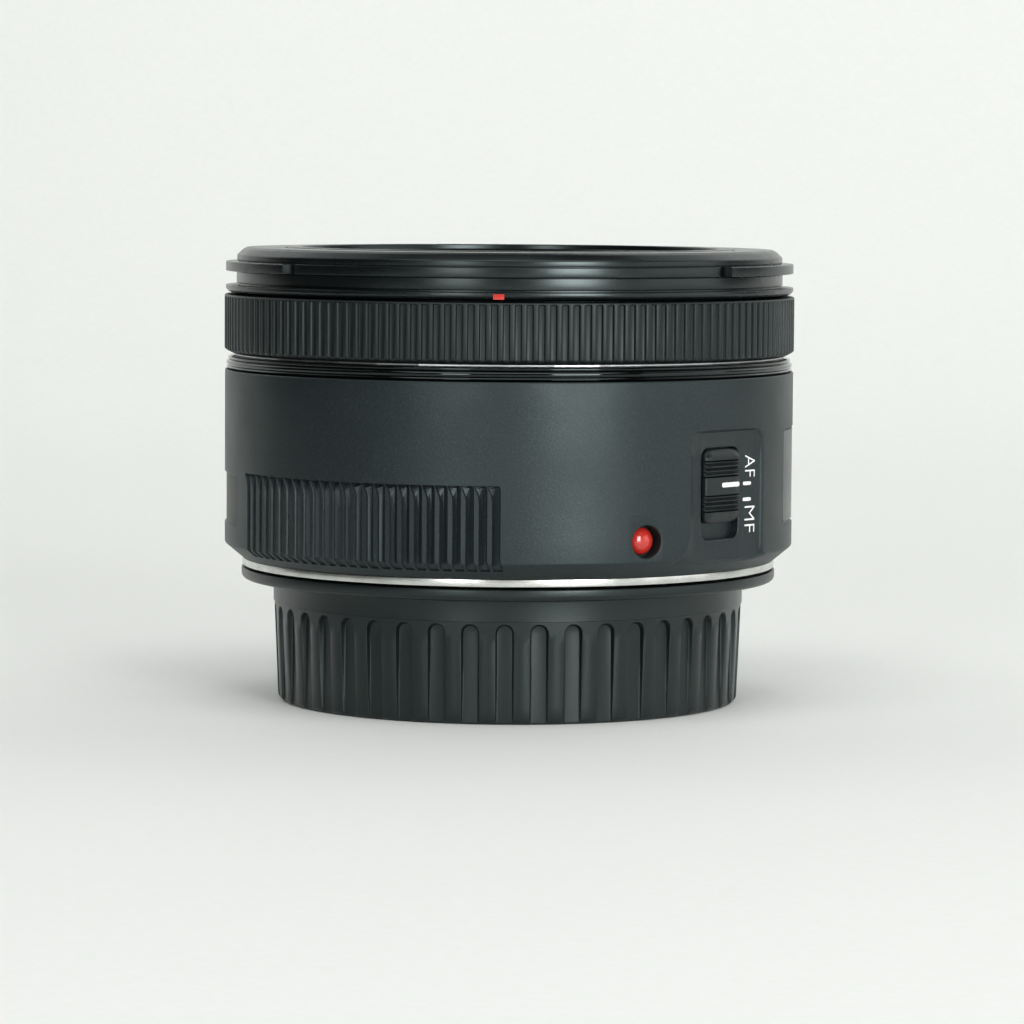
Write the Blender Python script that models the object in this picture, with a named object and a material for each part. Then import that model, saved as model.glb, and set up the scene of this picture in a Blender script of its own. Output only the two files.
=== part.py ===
"""Autofocus standard prime camera lens, standing on its rear cap with the front up.

Sizes are in millimetres and are turned to metres where a mesh is made. Z is the optical axis,
z = 0 is the foot of the rear cap, and the side with the red marks faces -Y. An angle is
measured from -Y towards +X, which is anticlockwise seen from the front of the lens.
"""

import math

import bmesh
import bpy
from mathutils import Matrix

MM = 0.001

# Driving sizes of the whole lens.
BODY_R = 34.55            # plain barrel
GRIP_R = 34.6             # focus ring, the widest part
FLANGE_Z = 16.5           # flange plane, where the lens meets a camera
LENS_LENGTH = 38.5        # flange plane to front rim
FRONT_Z = FLANGE_Z + LENS_LENGTH
RUN = 0.2                 # gap between a piece and the one it moves past
OUTSIDE = 40              # sides of the round pieces that show
INSIDE = 32               # of the pieces that turn inside each other
FIXED = 24                # and of the fixed pieces inside

# Rear cap.
CAP_R = 28.6
CAP_FOOT_R = 28.0
CAP_RIM_R = 32.5
CAP_RIM_Z = 14.85
CAP_TOP_Z = 16.2
CAP_BORE_R = 27.2
CAP_FLOOR = 1.6
FLUTES = 44
FLUTE_WIDTH = 2.0
FLUTE_DEPTH = 0.5
FLUTE_TOP_Z = 11.7
FLUTE_PHASE = -0.6

# Bayonet mount.
MOUNT_R = 32.4
MOUNT_TOP_Z = 17.4
TUBE_R = 25.4
TUBE_BORE_R = 23.6
TUBE_END_Z = 11.9
LUG_R = 26.7
LUG_TOP_Z = 13.4
LUG_SPAN = 62.0
LUG_PHASE = 87.7          # the first lug, a sixth of a turn past the mount index
SCREW_CIRCLE_R = 28.9
SCREWS = 4
CONTACTS = 7
CONTACT_ANGLE = 207.7     # opposite the mount index
CONTACT_PITCH = 6.4

# Outer barrel.
BARREL_FOOT_Z = 17.45
CHAMFER_TOP_Z = 19.2
BARREL_TOP_Z = 40.2
BARREL_BORE_R = 33.0
PANEL_ANGLE = 49.1
PANEL_FLAT = 33.75        # distance of the flat panel from the optical axis
PANEL_HALF_WIDTH = 6.52
PANEL_TOP_Z = 34.1
SLOT_OFFSET = -0.95
SLOT_WIDTH = 6.8
SLOT_Z = (21.1, 32.1)
SWITCH_HEIGHT = 8.9
DOT_ANGLE = 27.7
DOT_Z = 21.7
DOT_R = 1.6

# Trim, focus ring and front ring.
TRIM_Z = (40.26, 41.88)
RING_Z = (42.2, 49.25)
RING_BORE_R = 32.0
SLEEVE_R = 31.8
HOOD_R = 34.45
HOOD_Z = (49.42, 50.4)
NECK_R = 33.15
HOOD_LUG_Z = (52.05, 53.4)
HOOD_LUG_HALF_SPAN = 41.5
RIM_TOP_Z = 54.9
FRONT_BORE_R = 27.4

# Focusing unit.
INNER_R = 27.0
FOCUS_TRAVEL = 10.5
CAM_TURN = 60.0
PIN_Z = 35.0
PIN_R = 0.9
PINS = 3
GUIDE_R = (27.35, 28.1)
CAM_R = (28.35, 29.4)
CAM_Z = (21.3, 48.3)

# Focus gear train: an internal toothed sector on the cam ring, an idler and the motor pinion.
MODULE = 0.5
ADDENDUM = 0.4            # height of a tooth above its pitch circle
DEDENDUM = 0.6            # and depth below it
SECTOR_TEETH = 115
IDLER_TEETH = 20
PINION_TEETH = 8
GEAR_Z = (21.6, 24.2)
IDLER_ANGLE = 140.0
MOTOR_RADIUS = 21.5       # distance of the motor's axis from the optical axis

# Diaphragm.
BLADES = 7
BLADE_PIVOT_R = 15.6
BLADE_PIN_R = 15.2
BLADE_PIN_ANGLE = 9.6     # cam pin, ahead of the pivot
BLADE_PIN = 0.4           # radius of the cam pin
BLADE_TURN = 30.0
DRIVE_TURN = 20.0
BLADE_Z = 32.05
BLADE_THICK = 0.08
BLADE_STEP = 0.13
DRIVE_Z = (33.1, 33.6)

FINISHES = {              # sRGB colour, roughness, metallic
    "black_plastic": ("303536", 0.55, 0.0),
    "ring_plastic": ("24292A", 0.6, 0.0),
    "cap_plastic": ("2E3334", 0.55, 0.0),
    "gloss_black": ("0C0E0E", 0.08, 0.0),
    "chrome": ("C9CCCA", 0.25, 1.0),
    "steel": ("A8ABAC", 0.35, 1.0),
    "brass": ("C79A4B", 0.3, 1.0),
    "red": ("D8322A", 0.3, 0.0),
    "board": ("1F5B3A", 0.5, 0.0),
    "white_plastic": ("D9D7CF", 0.45, 0.0),
    "glass": ("C8D4D8", 0.02, 0.0),
    "blade_steel": ("1A1C1D", 0.4, 0.8),
}


# ---------------------------------------------------------------- helpers

def polar(angle, radius):
    """The point at this angle from -Y towards +X."""
    turn = math.radians(angle)
    return radius * math.sin(turn), -radius * math.cos(turn)


def linear(channel):
    return channel / 12.92 if channel <= 0.04045 else ((channel + 0.055) / 1.055) ** 2.4


def make_material(name, finish):
    colour, roughness, metallic = FINISHES[finish]
    material = bpy.data.materials.new(name)
    material.use_nodes = True
    shader = material.node_tree.nodes["Principled BSDF"]
    rgb = [linear(int(colour[i:i + 2], 16) / 255) for i in (0, 2, 4)]
    shader.inputs["Base Color"].default_value = (*rgb, 1)
    shader.inputs["Roughness"].default_value = roughness
    shader.inputs["Metallic"].default_value = metallic
    if finish == "glass":
        shader.inputs["Transmission Weight"].default_value = 1
    return material


def make_body(name):
    """An empty that groups the pieces of one moving body."""
    empty = bpy.data.objects.new(name, None)
    bpy.context.scene.collection.objects.link(empty)
    return empty


def make_object(name, bm, finish=None, body=None, at=(0, 0, 0)):
    """A node from millimetre geometry round the point `at`, or a cutter where no finish is given."""
    bmesh.ops.recalc_face_normals(bm, faces=bm.faces)
    bmesh.ops.scale(bm, vec=(MM, MM, MM), verts=bm.verts)
    mesh = bpy.data.meshes.new(name)
    bm.to_mesh(mesh)
    bm.free()
    obj = bpy.data.objects.new(name, mesh)
    obj.location = [MM * value for value in at]
    bpy.context.scene.collection.objects.link(obj)
    if finish:
        mesh.materials.append(make_material(name, finish))
        mesh.shade_smooth()
        mesh.set_sharp_from_angle(angle=math.radians(35))
        obj.parent = body
    else:
        obj.hide_render = True
        obj.display_type = "WIRE"
    return obj


def combine(obj, bm, operation, label, at=(0, 0, 0)):
    """Adds a Boolean modifier that cuts or joins this geometry."""
    tool = make_object(f"{obj.name}_{label}", bm, at=at)
    modifier = obj.modifiers.new(label, "BOOLEAN")
    modifier.operation = operation
    modifier.solver = "EXACT"
    modifier.object = tool


def add_lathe(bm, profile, segments=OUTSIDE):
    """Turns a closed outline of (radius, z) points about Z."""
    verts = [bm.verts.new((radius, 0, z)) for radius, z in profile]
    edges = [bm.edges.new((a, b)) for a, b in zip(verts, verts[1:] + verts[:1])
             if a.co.x > 0 or b.co.x > 0]
    bmesh.ops.spin(bm, geom=verts + edges, cent=(0, 0, 0), axis=(0, 0, 1),
                   angle=math.tau, steps=segments, use_merge=True)
    bmesh.ops.remove_doubles(bm, verts=bm.verts, dist=1e-5)
    return bm


def lathe(profile, segments=OUTSIDE):
    return add_lathe(bmesh.new(), profile, segments)


def add_prism(bm, outline, z0, z1):
    """Extrudes a closed outline of (x, y) points from z0 to z1."""
    face = bm.faces.new([bm.verts.new((x, y, z0)) for x, y in outline])
    made = bmesh.ops.extrude_face_region(bm, geom=[face])
    top = [item for item in made["geom"] if isinstance(item, bmesh.types.BMVert)]
    bmesh.ops.translate(bm, vec=(0, 0, z1 - z0), verts=top)
    return bm


def prism(outline, z0, z1):
    return add_prism(bmesh.new(), outline, z0, z1)


def arc(radius, a0, a1, steps):
    return [polar(a0 + (a1 - a0) * i / steps, radius) for i in range(steps + 1)]


def sector(r0, r1, a0, a1, step=7.5):
    """Outline of a piece of a ring between two radii and two angles."""
    steps = max(1, round(abs(a1 - a0) / step))
    return arc(r1, a0, a1, steps) + arc(r0, a1, a0, steps)


def disc(radius, sides, centre=(0, 0)):
    return [(centre[0] + x, centre[1] + y)
            for x, y in arc(radius, 0, 360 - 360 / sides, sides - 1)]


def rod(radius, z0, z1, sides=16, centre=(0, 0)):
    return prism(disc(radius, sides, centre), z0, z1)


def absorb(bm, other):
    """Moves the geometry of one bmesh into another."""
    mesh = bpy.data.meshes.new("moved")
    other.to_mesh(mesh)
    other.free()
    bm.from_mesh(mesh)
    bpy.data.meshes.remove(mesh)


def rounded(width, height, corner, centre=(0, 0), steps=3):
    """Outline of a rectangle with round corners."""
    outline = []
    for quarter in range(4):
        sx, sy = ((1, 1), (-1, 1), (-1, -1), (1, -1))[quarter]
        cx = centre[0] + sx * (width / 2 - corner)
        cy = centre[1] + sy * (height / 2 - corner)
        for i in range(steps + 1):
            turn = math.radians(90 * quarter + 90 * i / steps)
            outline.append((cx + corner * math.cos(turn), cy + corner * math.sin(turn)))
    return outline


def facing(bm, angle):
    """Turns a shape drawn with x across, y up and z outwards so that it faces out at this angle."""
    turn = math.radians(angle)
    across = (math.cos(turn), math.sin(turn), 0)
    outwards = (math.sin(turn), -math.cos(turn), 0)
    axes = Matrix((across, (0, 0, 1), outwards)).transposed().to_4x4()
    bmesh.ops.transform(bm, matrix=axes, verts=bm.verts)
    return bm


def gear_outline(teeth, tooth_angle):
    """Straight-flanked teeth, with one centred on tooth_angle."""
    pitch_r = MODULE * teeth / 2
    pitch = 360 / teeth
    tip, root = pitch_r + ADDENDUM, pitch_r - DEDENDUM
    outline = []
    for i in range(teeth):
        middle = tooth_angle + i * pitch
        for share, radius in ((-0.3, root), (-0.09, tip), (0.09, tip), (0.3, root)):
            outline.append(polar(middle + share * pitch, radius))
    return outline


# ---------------------------------------------------------------- rear cap

def make_rear_cap(body):
    profile = [(0, 0), (27.3, 0), (CAP_FOOT_R, 0.7), (CAP_R, 14.6), (31.8, CAP_RIM_Z),
               (CAP_RIM_R, 15.4), (CAP_RIM_R, CAP_TOP_Z), (CAP_BORE_R, CAP_TOP_Z),
               (CAP_BORE_R, CAP_FLOOR), (0, CAP_FLOOR)]
    cap = make_object("rear_cap", lathe(profile), "cap_plastic", body)
    tabs = bmesh.new()
    for i in range(3):
        middle = LUG_PHASE + 60 + 120 * i
        add_prism(tabs, sector(25.8, CAP_BORE_R + 0.4, middle - 17, middle + 17), 13.9, 15.1)
    combine(cap, tabs, "UNION", "tabs")
    flutes = bmesh.new()
    for i in range(FLUTES):
        outline = [(-FLUTE_WIDTH / 2, -1), (FLUTE_WIDTH / 2, -1)]
        outline += [(FLUTE_WIDTH / 2 * math.cos(turn), FLUTE_TOP_Z - 1 + math.sin(turn))
                    for turn in (math.pi * k / 3 for k in range(4))]
        bar = prism(outline, CAP_R - FLUTE_DEPTH, CAP_R + 2)
        absorb(flutes, facing(bar, FLUTE_PHASE + 360 * i / FLUTES))
    combine(cap, flutes, "DIFFERENCE", "flutes")


# ---------------------------------------------------------------- mount and rear

def screw_angle(i):
    return DOT_ANGLE + 45 + 360 * i / SCREWS


def make_mount(body):
    profile = [(TUBE_BORE_R, TUBE_END_Z), (TUBE_R, TUBE_END_Z), (TUBE_R, FLANGE_Z),
               (MOUNT_R, FLANGE_Z), (MOUNT_R, MOUNT_TOP_Z), (31.3, MOUNT_TOP_Z), (31.3, 18.0),
               (TUBE_BORE_R, 18.0)]
    ring = make_object("mount_ring", lathe(profile), "chrome", body)
    lugs = bmesh.new()
    for i in range(3):
        middle = LUG_PHASE + 120 * i
        outline = sector(TUBE_R - 0.3, LUG_R, middle - LUG_SPAN / 2, middle + LUG_SPAN / 2)
        add_prism(lugs, outline, TUBE_END_Z, LUG_TOP_Z)
    combine(ring, lugs, "UNION", "lugs")
    holes = bmesh.new()
    hole = [(0, 16), (1.45, 16), (1.45, 17.05), (0.9, 17.05), (0.9, 19), (0, 19)]
    screw = [(0, 16.6), (1.3, 16.6), (1.35, 16.95), (0.75, 16.95), (0.75, 19.5), (0, 19.5)]
    for i in range(SCREWS):
        x, y = polar(screw_angle(i), SCREW_CIRCLE_R)
        cutter = lathe(hole, 12)
        bmesh.ops.translate(cutter, vec=(x, y, 0), verts=cutter.verts)
        absorb(holes, cutter)
        make_object(f"mount_screw_{i + 1}", lathe(screw, 12), "steel", body, (x, y, 0))
    combine(ring, holes, "DIFFERENCE", "screw_holes")


def make_rear(body):
    profile = [(14.1, 12.4), (23.4, 12.4), (23.4, 19.3), (22.6, 19.3), (22.6, 13.4), (14.1, 13.4)]
    make_object("rear_baffle", lathe(profile, FIXED), "black_plastic", body)
    half = CONTACT_PITCH * CONTACTS / 2 + 2.5
    outline = sector(18.6, 23.2, CONTACT_ANGLE - half, CONTACT_ANGLE + half)
    block = make_object("contact_block", prism(outline, 9.7, 12.3), "black_plastic", body)
    holes = bmesh.new()
    for i in range(CONTACTS):
        angle = CONTACT_ANGLE + CONTACT_PITCH * (i - (CONTACTS - 1) / 2)
        x, y = polar(angle, 21.2)
        add_prism(holes, disc(0.8, 8, (x, y)), 9, 11.2)
        shape = lathe([(0, 9.5), (0.45, 9.6), (0.65, 9.8), (0.65, 11.1), (0, 11.1)], 8)
        make_object(f"contact_pin_{i + 1}", shape, "brass", body, (x, y, 0))
    combine(block, holes, "DIFFERENCE", "pin_holes")


# ---------------------------------------------------------------- outer barrel

def panel_outline():
    """Flat switch panel, open at its foot, with round upper corners."""
    half, corner, foot = PANEL_HALF_WIDTH, 1.6, BARREL_FOOT_Z - 1
    outline = [(-half, foot), (half, foot)]
    for sign, start in ((1, 0), (-1, 90)):
        for i in range(5):
            turn = math.radians(start + 22.5 * i)
            outline.append((sign * (half - corner) + corner * math.cos(turn),
                            PANEL_TOP_Z - corner + corner * math.sin(turn)))
    return outline


def make_outer_barrel(body):
    profile = [(31.6, BARREL_FOOT_Z), (32.45, BARREL_FOOT_Z), (BODY_R, CHAMFER_TOP_Z),
               (BODY_R, BARREL_TOP_Z), (32.6, BARREL_TOP_Z), (32.6, 38.6), (BARREL_BORE_R, 38.2),
               (BARREL_BORE_R, 19.6), (26.2, 19.6), (26.2, 18.1), (31.6, 18.1)]
    barrel = make_object("outer_barrel", lathe(profile), "black_plastic", body)
    cuts = prism(panel_outline(), PANEL_FLAT, BODY_R + 3)
    combine(barrel, facing(cuts, PANEL_ANGLE), "DIFFERENCE", "switch_panel")
    slot_height = SLOT_Z[1] - SLOT_Z[0]
    slot_centre = (SLOT_OFFSET, sum(SLOT_Z) / 2)
    slot = prism(rounded(SLOT_WIDTH, slot_height, 1.1, slot_centre), 31, 36)
    combine(barrel, facing(slot, PANEL_ANGLE), "DIFFERENCE", "switch_slot")
    dot_hole = rod(DOT_R + 0.18, 31, 37, 16, (0, DOT_Z))
    combine(barrel, facing(dot_hole, DOT_ANGLE), "DIFFERENCE", "dot_hole")
    pockets = bmesh.new()
    add_prism(pockets, sector(BODY_R - 0.5, BODY_R + 2, 72, 108), 22.1, 33.7)
    add_prism(pockets, sector(BODY_R - 0.4, BODY_R + 2, -111, -69.4), 21.7, 27.8)
    combine(barrel, pockets, "DIFFERENCE", "plate_pockets")
    holes = bmesh.new()
    for i in range(SCREWS):
        add_prism(holes, disc(0.9, 12, polar(screw_angle(i), SCREW_CIRCLE_R)), 17.9, 19.9)
    combine(barrel, holes, "DIFFERENCE", "screw_holes")


def make_barrel_trim(body):
    dome = [(0, 34.4), (0.8, 34.2), (1.4, 33.8), (DOT_R, 33.3), (DOT_R, 32.6), (1.9, 32.6),
            (1.9, 31.9), (0, 31.9)]
    dot = lathe(dome, 16)
    bmesh.ops.translate(dot, vec=(0, DOT_Z, 0), verts=dot.verts)
    make_object("mount_index_dot", facing(dot, DOT_ANGLE), "red", body)
    plate = prism(sector(BODY_R - 0.4, BODY_R, 72.3, 107.7), 22.2, 33.6)
    make_object("badge_plate", plate, "black_plastic", body)
    plate = prism(sector(BODY_R - 0.3, BODY_R - 0.08, -110.7, -69.7), 21.8, 27.7)
    make_object("name_plate", plate, "ring_plastic", body)
    z0, z1 = TRIM_Z
    beads = [(34.35, z0), (34.35, z0 + 0.4), (34.4, z0 + 0.8), (34.1, z1)]
    make_object("trim_ring", lathe([(32.1, z0)] + beads + [(32.1, z1)]), "gloss_black", body)
    washer = [(SLEEVE_R + RUN, 41.95), (33.5, 41.95), (33.5, 42.1), (SLEEVE_R + RUN, 42.1)]
    make_object("friction_washer", lathe(washer), "steel", body)


def make_switch(body):
    width, height = SLOT_WIDTH - 0.3, SWITCH_HEIGHT
    centre = (SLOT_OFFSET, SLOT_Z[1] - 0.1 - SWITCH_HEIGHT / 2)
    block = facing(prism(rounded(width, height, 1.0, centre), 31.9, 34.1), PANEL_ANGLE)
    slider = make_object("focus_mode_switch", block, "black_plastic", body)
    ridges = bmesh.new()
    for sign in (-1, 1):
        for i in range(4):
            z = centre[1] + sign * (1.25 + 0.62 * i)
            add_prism(ridges, rounded(width + 1, 0.26, 0.05, (centre[0], z), 1), 33.78, 35)
    combine(slider, facing(ridges, PANEL_ANGLE), "DIFFERENCE", "ridges")


def make_switch_board(body):
    board = prism(rounded(9.5, 15.0, 0.6, (SLOT_OFFSET, 27.2)), 31.0, 31.6)
    make_object("switch_board", facing(board, PANEL_ANGLE), "board", body)


# ---------------------------------------------------------------- focus ring and front ring

def make_focus_ring(body):
    z0, z1 = RING_Z
    profile = [(RING_BORE_R, z0), (34.0, z0), (GRIP_R, z0 + 0.5), (GRIP_R, z1 - 0.15),
               (34.45, z1), (RING_BORE_R, z1), (RING_BORE_R, 47.2), (33.2, 47.2), (33.2, 43.8),
               (RING_BORE_R, 43.8)]
    make_object("focus_ring", lathe(profile), "ring_plastic", body)
    strip = [(32.1, 44.0), (33.0, 44.0), (33.0, 47.0), (32.1, 47.0)]
    make_object("encoder_ring", lathe(strip, INSIDE), "white_plastic", body)


def make_front_ring(body):
    z0, z1 = HOOD_Z
    profile = [(33.8, z0), (HOOD_R, z0 + 0.55), (HOOD_R, z1), (NECK_R, z1), (NECK_R, 54.0),
               (32.4, 54.65), (31.9, RIM_TOP_Z), (FRONT_BORE_R, RIM_TOP_Z), (FRONT_BORE_R, 50.2),
               (30.9, 50.2), (30.9, 38.2), (SLEEVE_R, 38.2), (SLEEVE_R, z0)]
    ring = make_object("front_ring", lathe(profile), "black_plastic", body)
    lugs = bmesh.new()
    for side in (90, -90):
        outline = sector(32.6, 34.45, side - HOOD_LUG_HALF_SPAN, side + HOOD_LUG_HALF_SPAN)
        add_prism(lugs, outline, *HOOD_LUG_Z)
    combine(ring, lugs, "UNION", "hood_lugs")
    pocket = prism(sector(HOOD_R - 0.4, HOOD_R + 1, -3.15, -0.85, 1), z0 + 0.1, z1 + 0.5)
    combine(ring, pocket, "DIFFERENCE", "index_pocket")
    mark = prism(sector(HOOD_R - 0.35, HOOD_R + 0.02, -3.05, -0.95, 1), z0 + 0.15, z1 - 0.02)
    make_object("hood_index_mark", mark, "red", body)


# ---------------------------------------------------------------- focusing unit

def helix(angle):
    """Height of the cam slot at this angle behind the follower pin."""
    return PIN_Z + FOCUS_TRAVEL * angle / CAM_TURN


def add_cam_slot(bm, start, half_height, steps=10):
    """Cutter along the helix, from the pin's place at rest, running back round the ring."""
    rings = []
    end_gap = math.degrees((PIN_R + RUN) / CAM_R[0])
    for i in range(steps + 1):
        angle = -end_gap + (CAM_TURN + 2 * end_gap) * i / steps
        z = helix(angle)
        rings.append([bm.verts.new((*polar(start - angle, radius), z + dz))
                      for radius, dz in ((CAM_R[0] - 1, -half_height), (CAM_R[1] + 1, -half_height),
                                         (CAM_R[1] + 1, half_height), (CAM_R[0] - 1, half_height))])
    for first, second in zip(rings, rings[1:]):
        for k in range(4):
            bm.faces.new((first[k], first[k - 1], second[k - 1], second[k]))
    bm.faces.new(rings[0])
    bm.faces.new(rings[-1])


def pin_angle(i):
    return 20 + 360 * i / PINS


def make_guide_tube(body):
    inner, outer = GUIDE_R
    profile = [(inner, 19.75), (29.9, 19.75), (29.9, 20.6), (outer, 20.6), (outer, 49.9),
               (inner, 49.9)]
    tube = make_object("guide_tube", lathe(profile, INSIDE), "black_plastic", body)
    slots = bmesh.new()
    for i in range(PINS):
        half = math.degrees((PIN_R + RUN) / inner)
        add_prism(slots, sector(inner - 1, outer + 1, pin_angle(i) - half, pin_angle(i) + half),
                  PIN_Z - PIN_R - 0.4, PIN_Z + FOCUS_TRAVEL + PIN_R + 0.4)
    add_prism(slots, sector(inner - 1, outer + 1, IDLER_ANGLE - 12, IDLER_ANGLE + 12), 21.0, 24.9)
    combine(tube, slots, "DIFFERENCE", "slots")


def make_cam_ring(body):
    inner, outer = CAM_R
    z0, z1 = CAM_Z
    profile = [(inner, z0), (30.3, z0), (30.3, 24.6), (outer, 25.2), (outer, z1), (inner, z1)]
    ring = make_object("cam_ring", lathe(profile, INSIDE), "white_plastic", body)
    slots = bmesh.new()
    slope = math.atan2(FOCUS_TRAVEL, math.radians(CAM_TURN) * CAM_R[0])
    for i in range(PINS):
        add_cam_slot(slots, pin_angle(i), (PIN_R + RUN) / math.cos(slope))
    combine(ring, slots, "DIFFERENCE", "cam_slots")
    teeth = bmesh.new()
    pitch = 360 / SECTOR_TEETH
    count = math.ceil(CAM_TURN / pitch) + 8
    root_r = MODULE * SECTOR_TEETH / 2 + DEDENDUM
    for i in range(count):
        middle = IDLER_ANGLE + (4 - i) * pitch
        wide, narrow = 0.4 * pitch, 0.19 * pitch
        outline = [polar(middle - wide, inner - 0.4), polar(middle - narrow, root_r),
                   polar(middle + narrow, root_r), polar(middle + wide, inner - 0.4)]
        add_prism(teeth, outline, z0 - 1, 24.4)
    combine(ring, teeth, "DIFFERENCE", "sector_teeth")


def gear_places():
    """Centres of the idler and the motor pinion, and where each has a tooth."""
    idler_r = MODULE * (SECTOR_TEETH - IDLER_TEETH) / 2
    reach = MODULE * (IDLER_TEETH + PINION_TEETH) / 2
    apart = math.degrees(math.acos((idler_r ** 2 + MOTOR_RADIUS ** 2 - reach ** 2)
                                   / (2 * idler_r * MOTOR_RADIUS)))
    idler = polar(IDLER_ANGLE, idler_r)
    pinion = polar(IDLER_ANGLE + apart, MOTOR_RADIUS)
    towards = math.degrees(math.atan2(pinion[0] - idler[0], -(pinion[1] - idler[1])))
    pitch = 360 / IDLER_TEETH
    offset = (IDLER_ANGLE - towards + pitch / 2) % pitch - pitch / 2
    gap = towards + 180 - offset * IDLER_TEETH / PINION_TEETH
    return idler, IDLER_ANGLE, pinion, gap + 180 / PINION_TEETH


def make_gear(name, teeth, tooth_angle, centre, bore, body):
    outline = gear_outline(teeth, tooth_angle)
    gear = make_object(name, prism(outline, *GEAR_Z), "white_plastic", body, (*centre, 0))
    if bore:
        combine(gear, rod(bore, GEAR_Z[0] - 1, GEAR_Z[1] + 1), "DIFFERENCE", "bore", (*centre, 0))
    else:
        combine(gear, rod(0.5, GEAR_Z[0] + 0.5, 27.0, 12), "UNION", "shaft", (*centre, 0))


def make_focus_drive(lens, idler_body, pinion_body):
    idler, idler_tooth, pinion, pinion_tooth = gear_places()
    make_gear("idler_gear", IDLER_TEETH, idler_tooth, idler, 0.7, idler_body)
    make_gear("motor_pinion", PINION_TEETH, pinion_tooth, pinion, 0, pinion_body)
    motor = make_object("focus_motor", rod(4.0, 25.5, 31.4, 24, pinion), "steel", lens)
    combine(motor, rod(0.7, 25.0, 27.3, 16, pinion), "DIFFERENCE", "shaft_hole")
    plate = sector(17.4, 26.9, IDLER_ANGLE - 12, IDLER_ANGLE + 29)
    bracket = make_object("gear_bracket", prism(plate, 24.5, 25.3), "black_plastic", lens)
    combine(bracket, rod(0.6, 21.4, 25.0, 16, idler), "UNION", "idler_axle")
    combine(bracket, rod(0.8, 24.0, 26.0, 16, pinion), "DIFFERENCE", "shaft_hole")
    post = prism(sector(24.0, 26.6, IDLER_ANGLE + 24, IDLER_ANGLE + 29), 19.8, 25.0)
    combine(bracket, post, "UNION", "post")


def make_circuit_board(body):
    outline = sector(15.6, 26.8, IDLER_ANGLE + 45, IDLER_ANGLE + 315, 15)
    make_object("circuit_board", prism(outline, 19.8, 20.5), "board", body)


def make_inner_barrel(body):
    profile = [(INNER_R, 33.4), (INNER_R, FRONT_Z), (25.4, FRONT_Z), (25.4, 37.5), (17.6, 37.5),
               (17.6, 49.0), (15.0, 49.0), (15.0, 43.5), (13.4, 43.5), (13.4, 37.4), (11.8, 37.4),
               (11.8, 34.0), (17.6, 34.0), (17.6, 36.0), (25.4, 36.0), (25.4, 33.4)]
    barrel = make_object("inner_barrel", lathe(profile), "black_plastic", body)
    holes = bmesh.new()
    for i in range(PINS):
        absorb(holes, facing(rod(PIN_R + 0.1, 24.5, 28, 12, (0, PIN_Z)), pin_angle(i)))
        pin = facing(rod(PIN_R, 25.6, CAM_R[1] - 0.1, 12, (0, PIN_Z)), pin_angle(i))
        make_object(f"follower_pin_{i + 1}", pin, "brass", body)
    combine(barrel, holes, "DIFFERENCE", "pin_holes")
    thread = [(24.5, 52.1), (25.3, 52.1), (25.3, 54.7), (24.5, 54.7)]
    make_object("filter_thread_ring", lathe(thread), "black_plastic", body)
    bezel = [(15.1, 49.1), (17.2, 49.1), (25.2, 51.1), (25.2, 52.0), (23.9, 52.0), (15.1, 49.8)]
    make_object("front_bezel", lathe(bezel, FIXED), "black_plastic", body)
    retainer = [(14.1, 45.55), (14.85, 45.55), (14.85, 48.6), (14.1, 46.6)]
    make_object("front_retainer", lathe(retainer, FIXED), "black_plastic", body)


def sag(radius, curvature_r):
    """How far a spherical surface falls behind its vertex at this radius."""
    if curvature_r == 0:
        return 0
    return math.copysign(abs(curvature_r) - math.sqrt(curvature_r ** 2 - radius ** 2), curvature_r)


def lens_profile(edge_r, front_z, front_curve, front_r, back_z, back_curve, back_r, steps=3):
    """Outline of an element: a curve is positive where its centre lies behind the surface."""
    front = [(front_r * i / steps, front_z - sag(front_r * i / steps, front_curve))
             for i in range(steps + 1)]
    back = [(back_r * i / steps, back_z - sag(back_r * i / steps, back_curve))
            for i in range(steps, -1, -1)]
    if front_r < edge_r:
        front.append((edge_r, front[-1][1]))
    if back_r < edge_r:
        back.insert(0, (edge_r, back[0][1]))
    return front + back


ELEMENTS = (  # edge radius; front vertex, curve and clear radius; back vertex, curve, clear radius
    (14.8, 48.5, 33, 14.8, 44.7, 105, 14.8),
    (13.2, 44.3, 20, 13.2, 40.2, 35, 13.2),
    (11.6, 38.8, 90, 11.6, 37.4, 16, 9.5),
    (11.2, 28.2, -16, 9.0, 26.6, 90, 11.2),
    (11.2, 26.56, 90, 11.2, 21.6, -24, 11.2),
    (11.2, 21.2, 80, 11.2, 17.2, -45, 11.2),
)


def make_optics(body):
    for i, sizes in enumerate(ELEMENTS):
        make_object(f"lens_element_{i + 1}", lathe(lens_profile(*sizes), FIXED), "glass", body)
    cell = [(11.4, 16.2), (13.2, 16.2), (13.2, 30.3), (17.0, 30.3), (17.0, 31.1), (11.4, 31.1)]
    make_object("rear_lens_cell", lathe(cell, FIXED), "black_plastic", body)
    retainer = [(10.2, 16.5), (11.3, 16.5), (11.3, 18.2), (10.2, 18.2)]
    make_object("rear_retainer", lathe(retainer, FIXED), "black_plastic", body)


# ---------------------------------------------------------------- diaphragm

def blade_angle(i):
    return 360 * i / BLADES


def turned(point, degrees):
    turn = math.radians(degrees)
    return (point[0] * math.cos(turn) - point[1] * math.sin(turn),
            point[0] * math.sin(turn) + point[1] * math.cos(turn))


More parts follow.
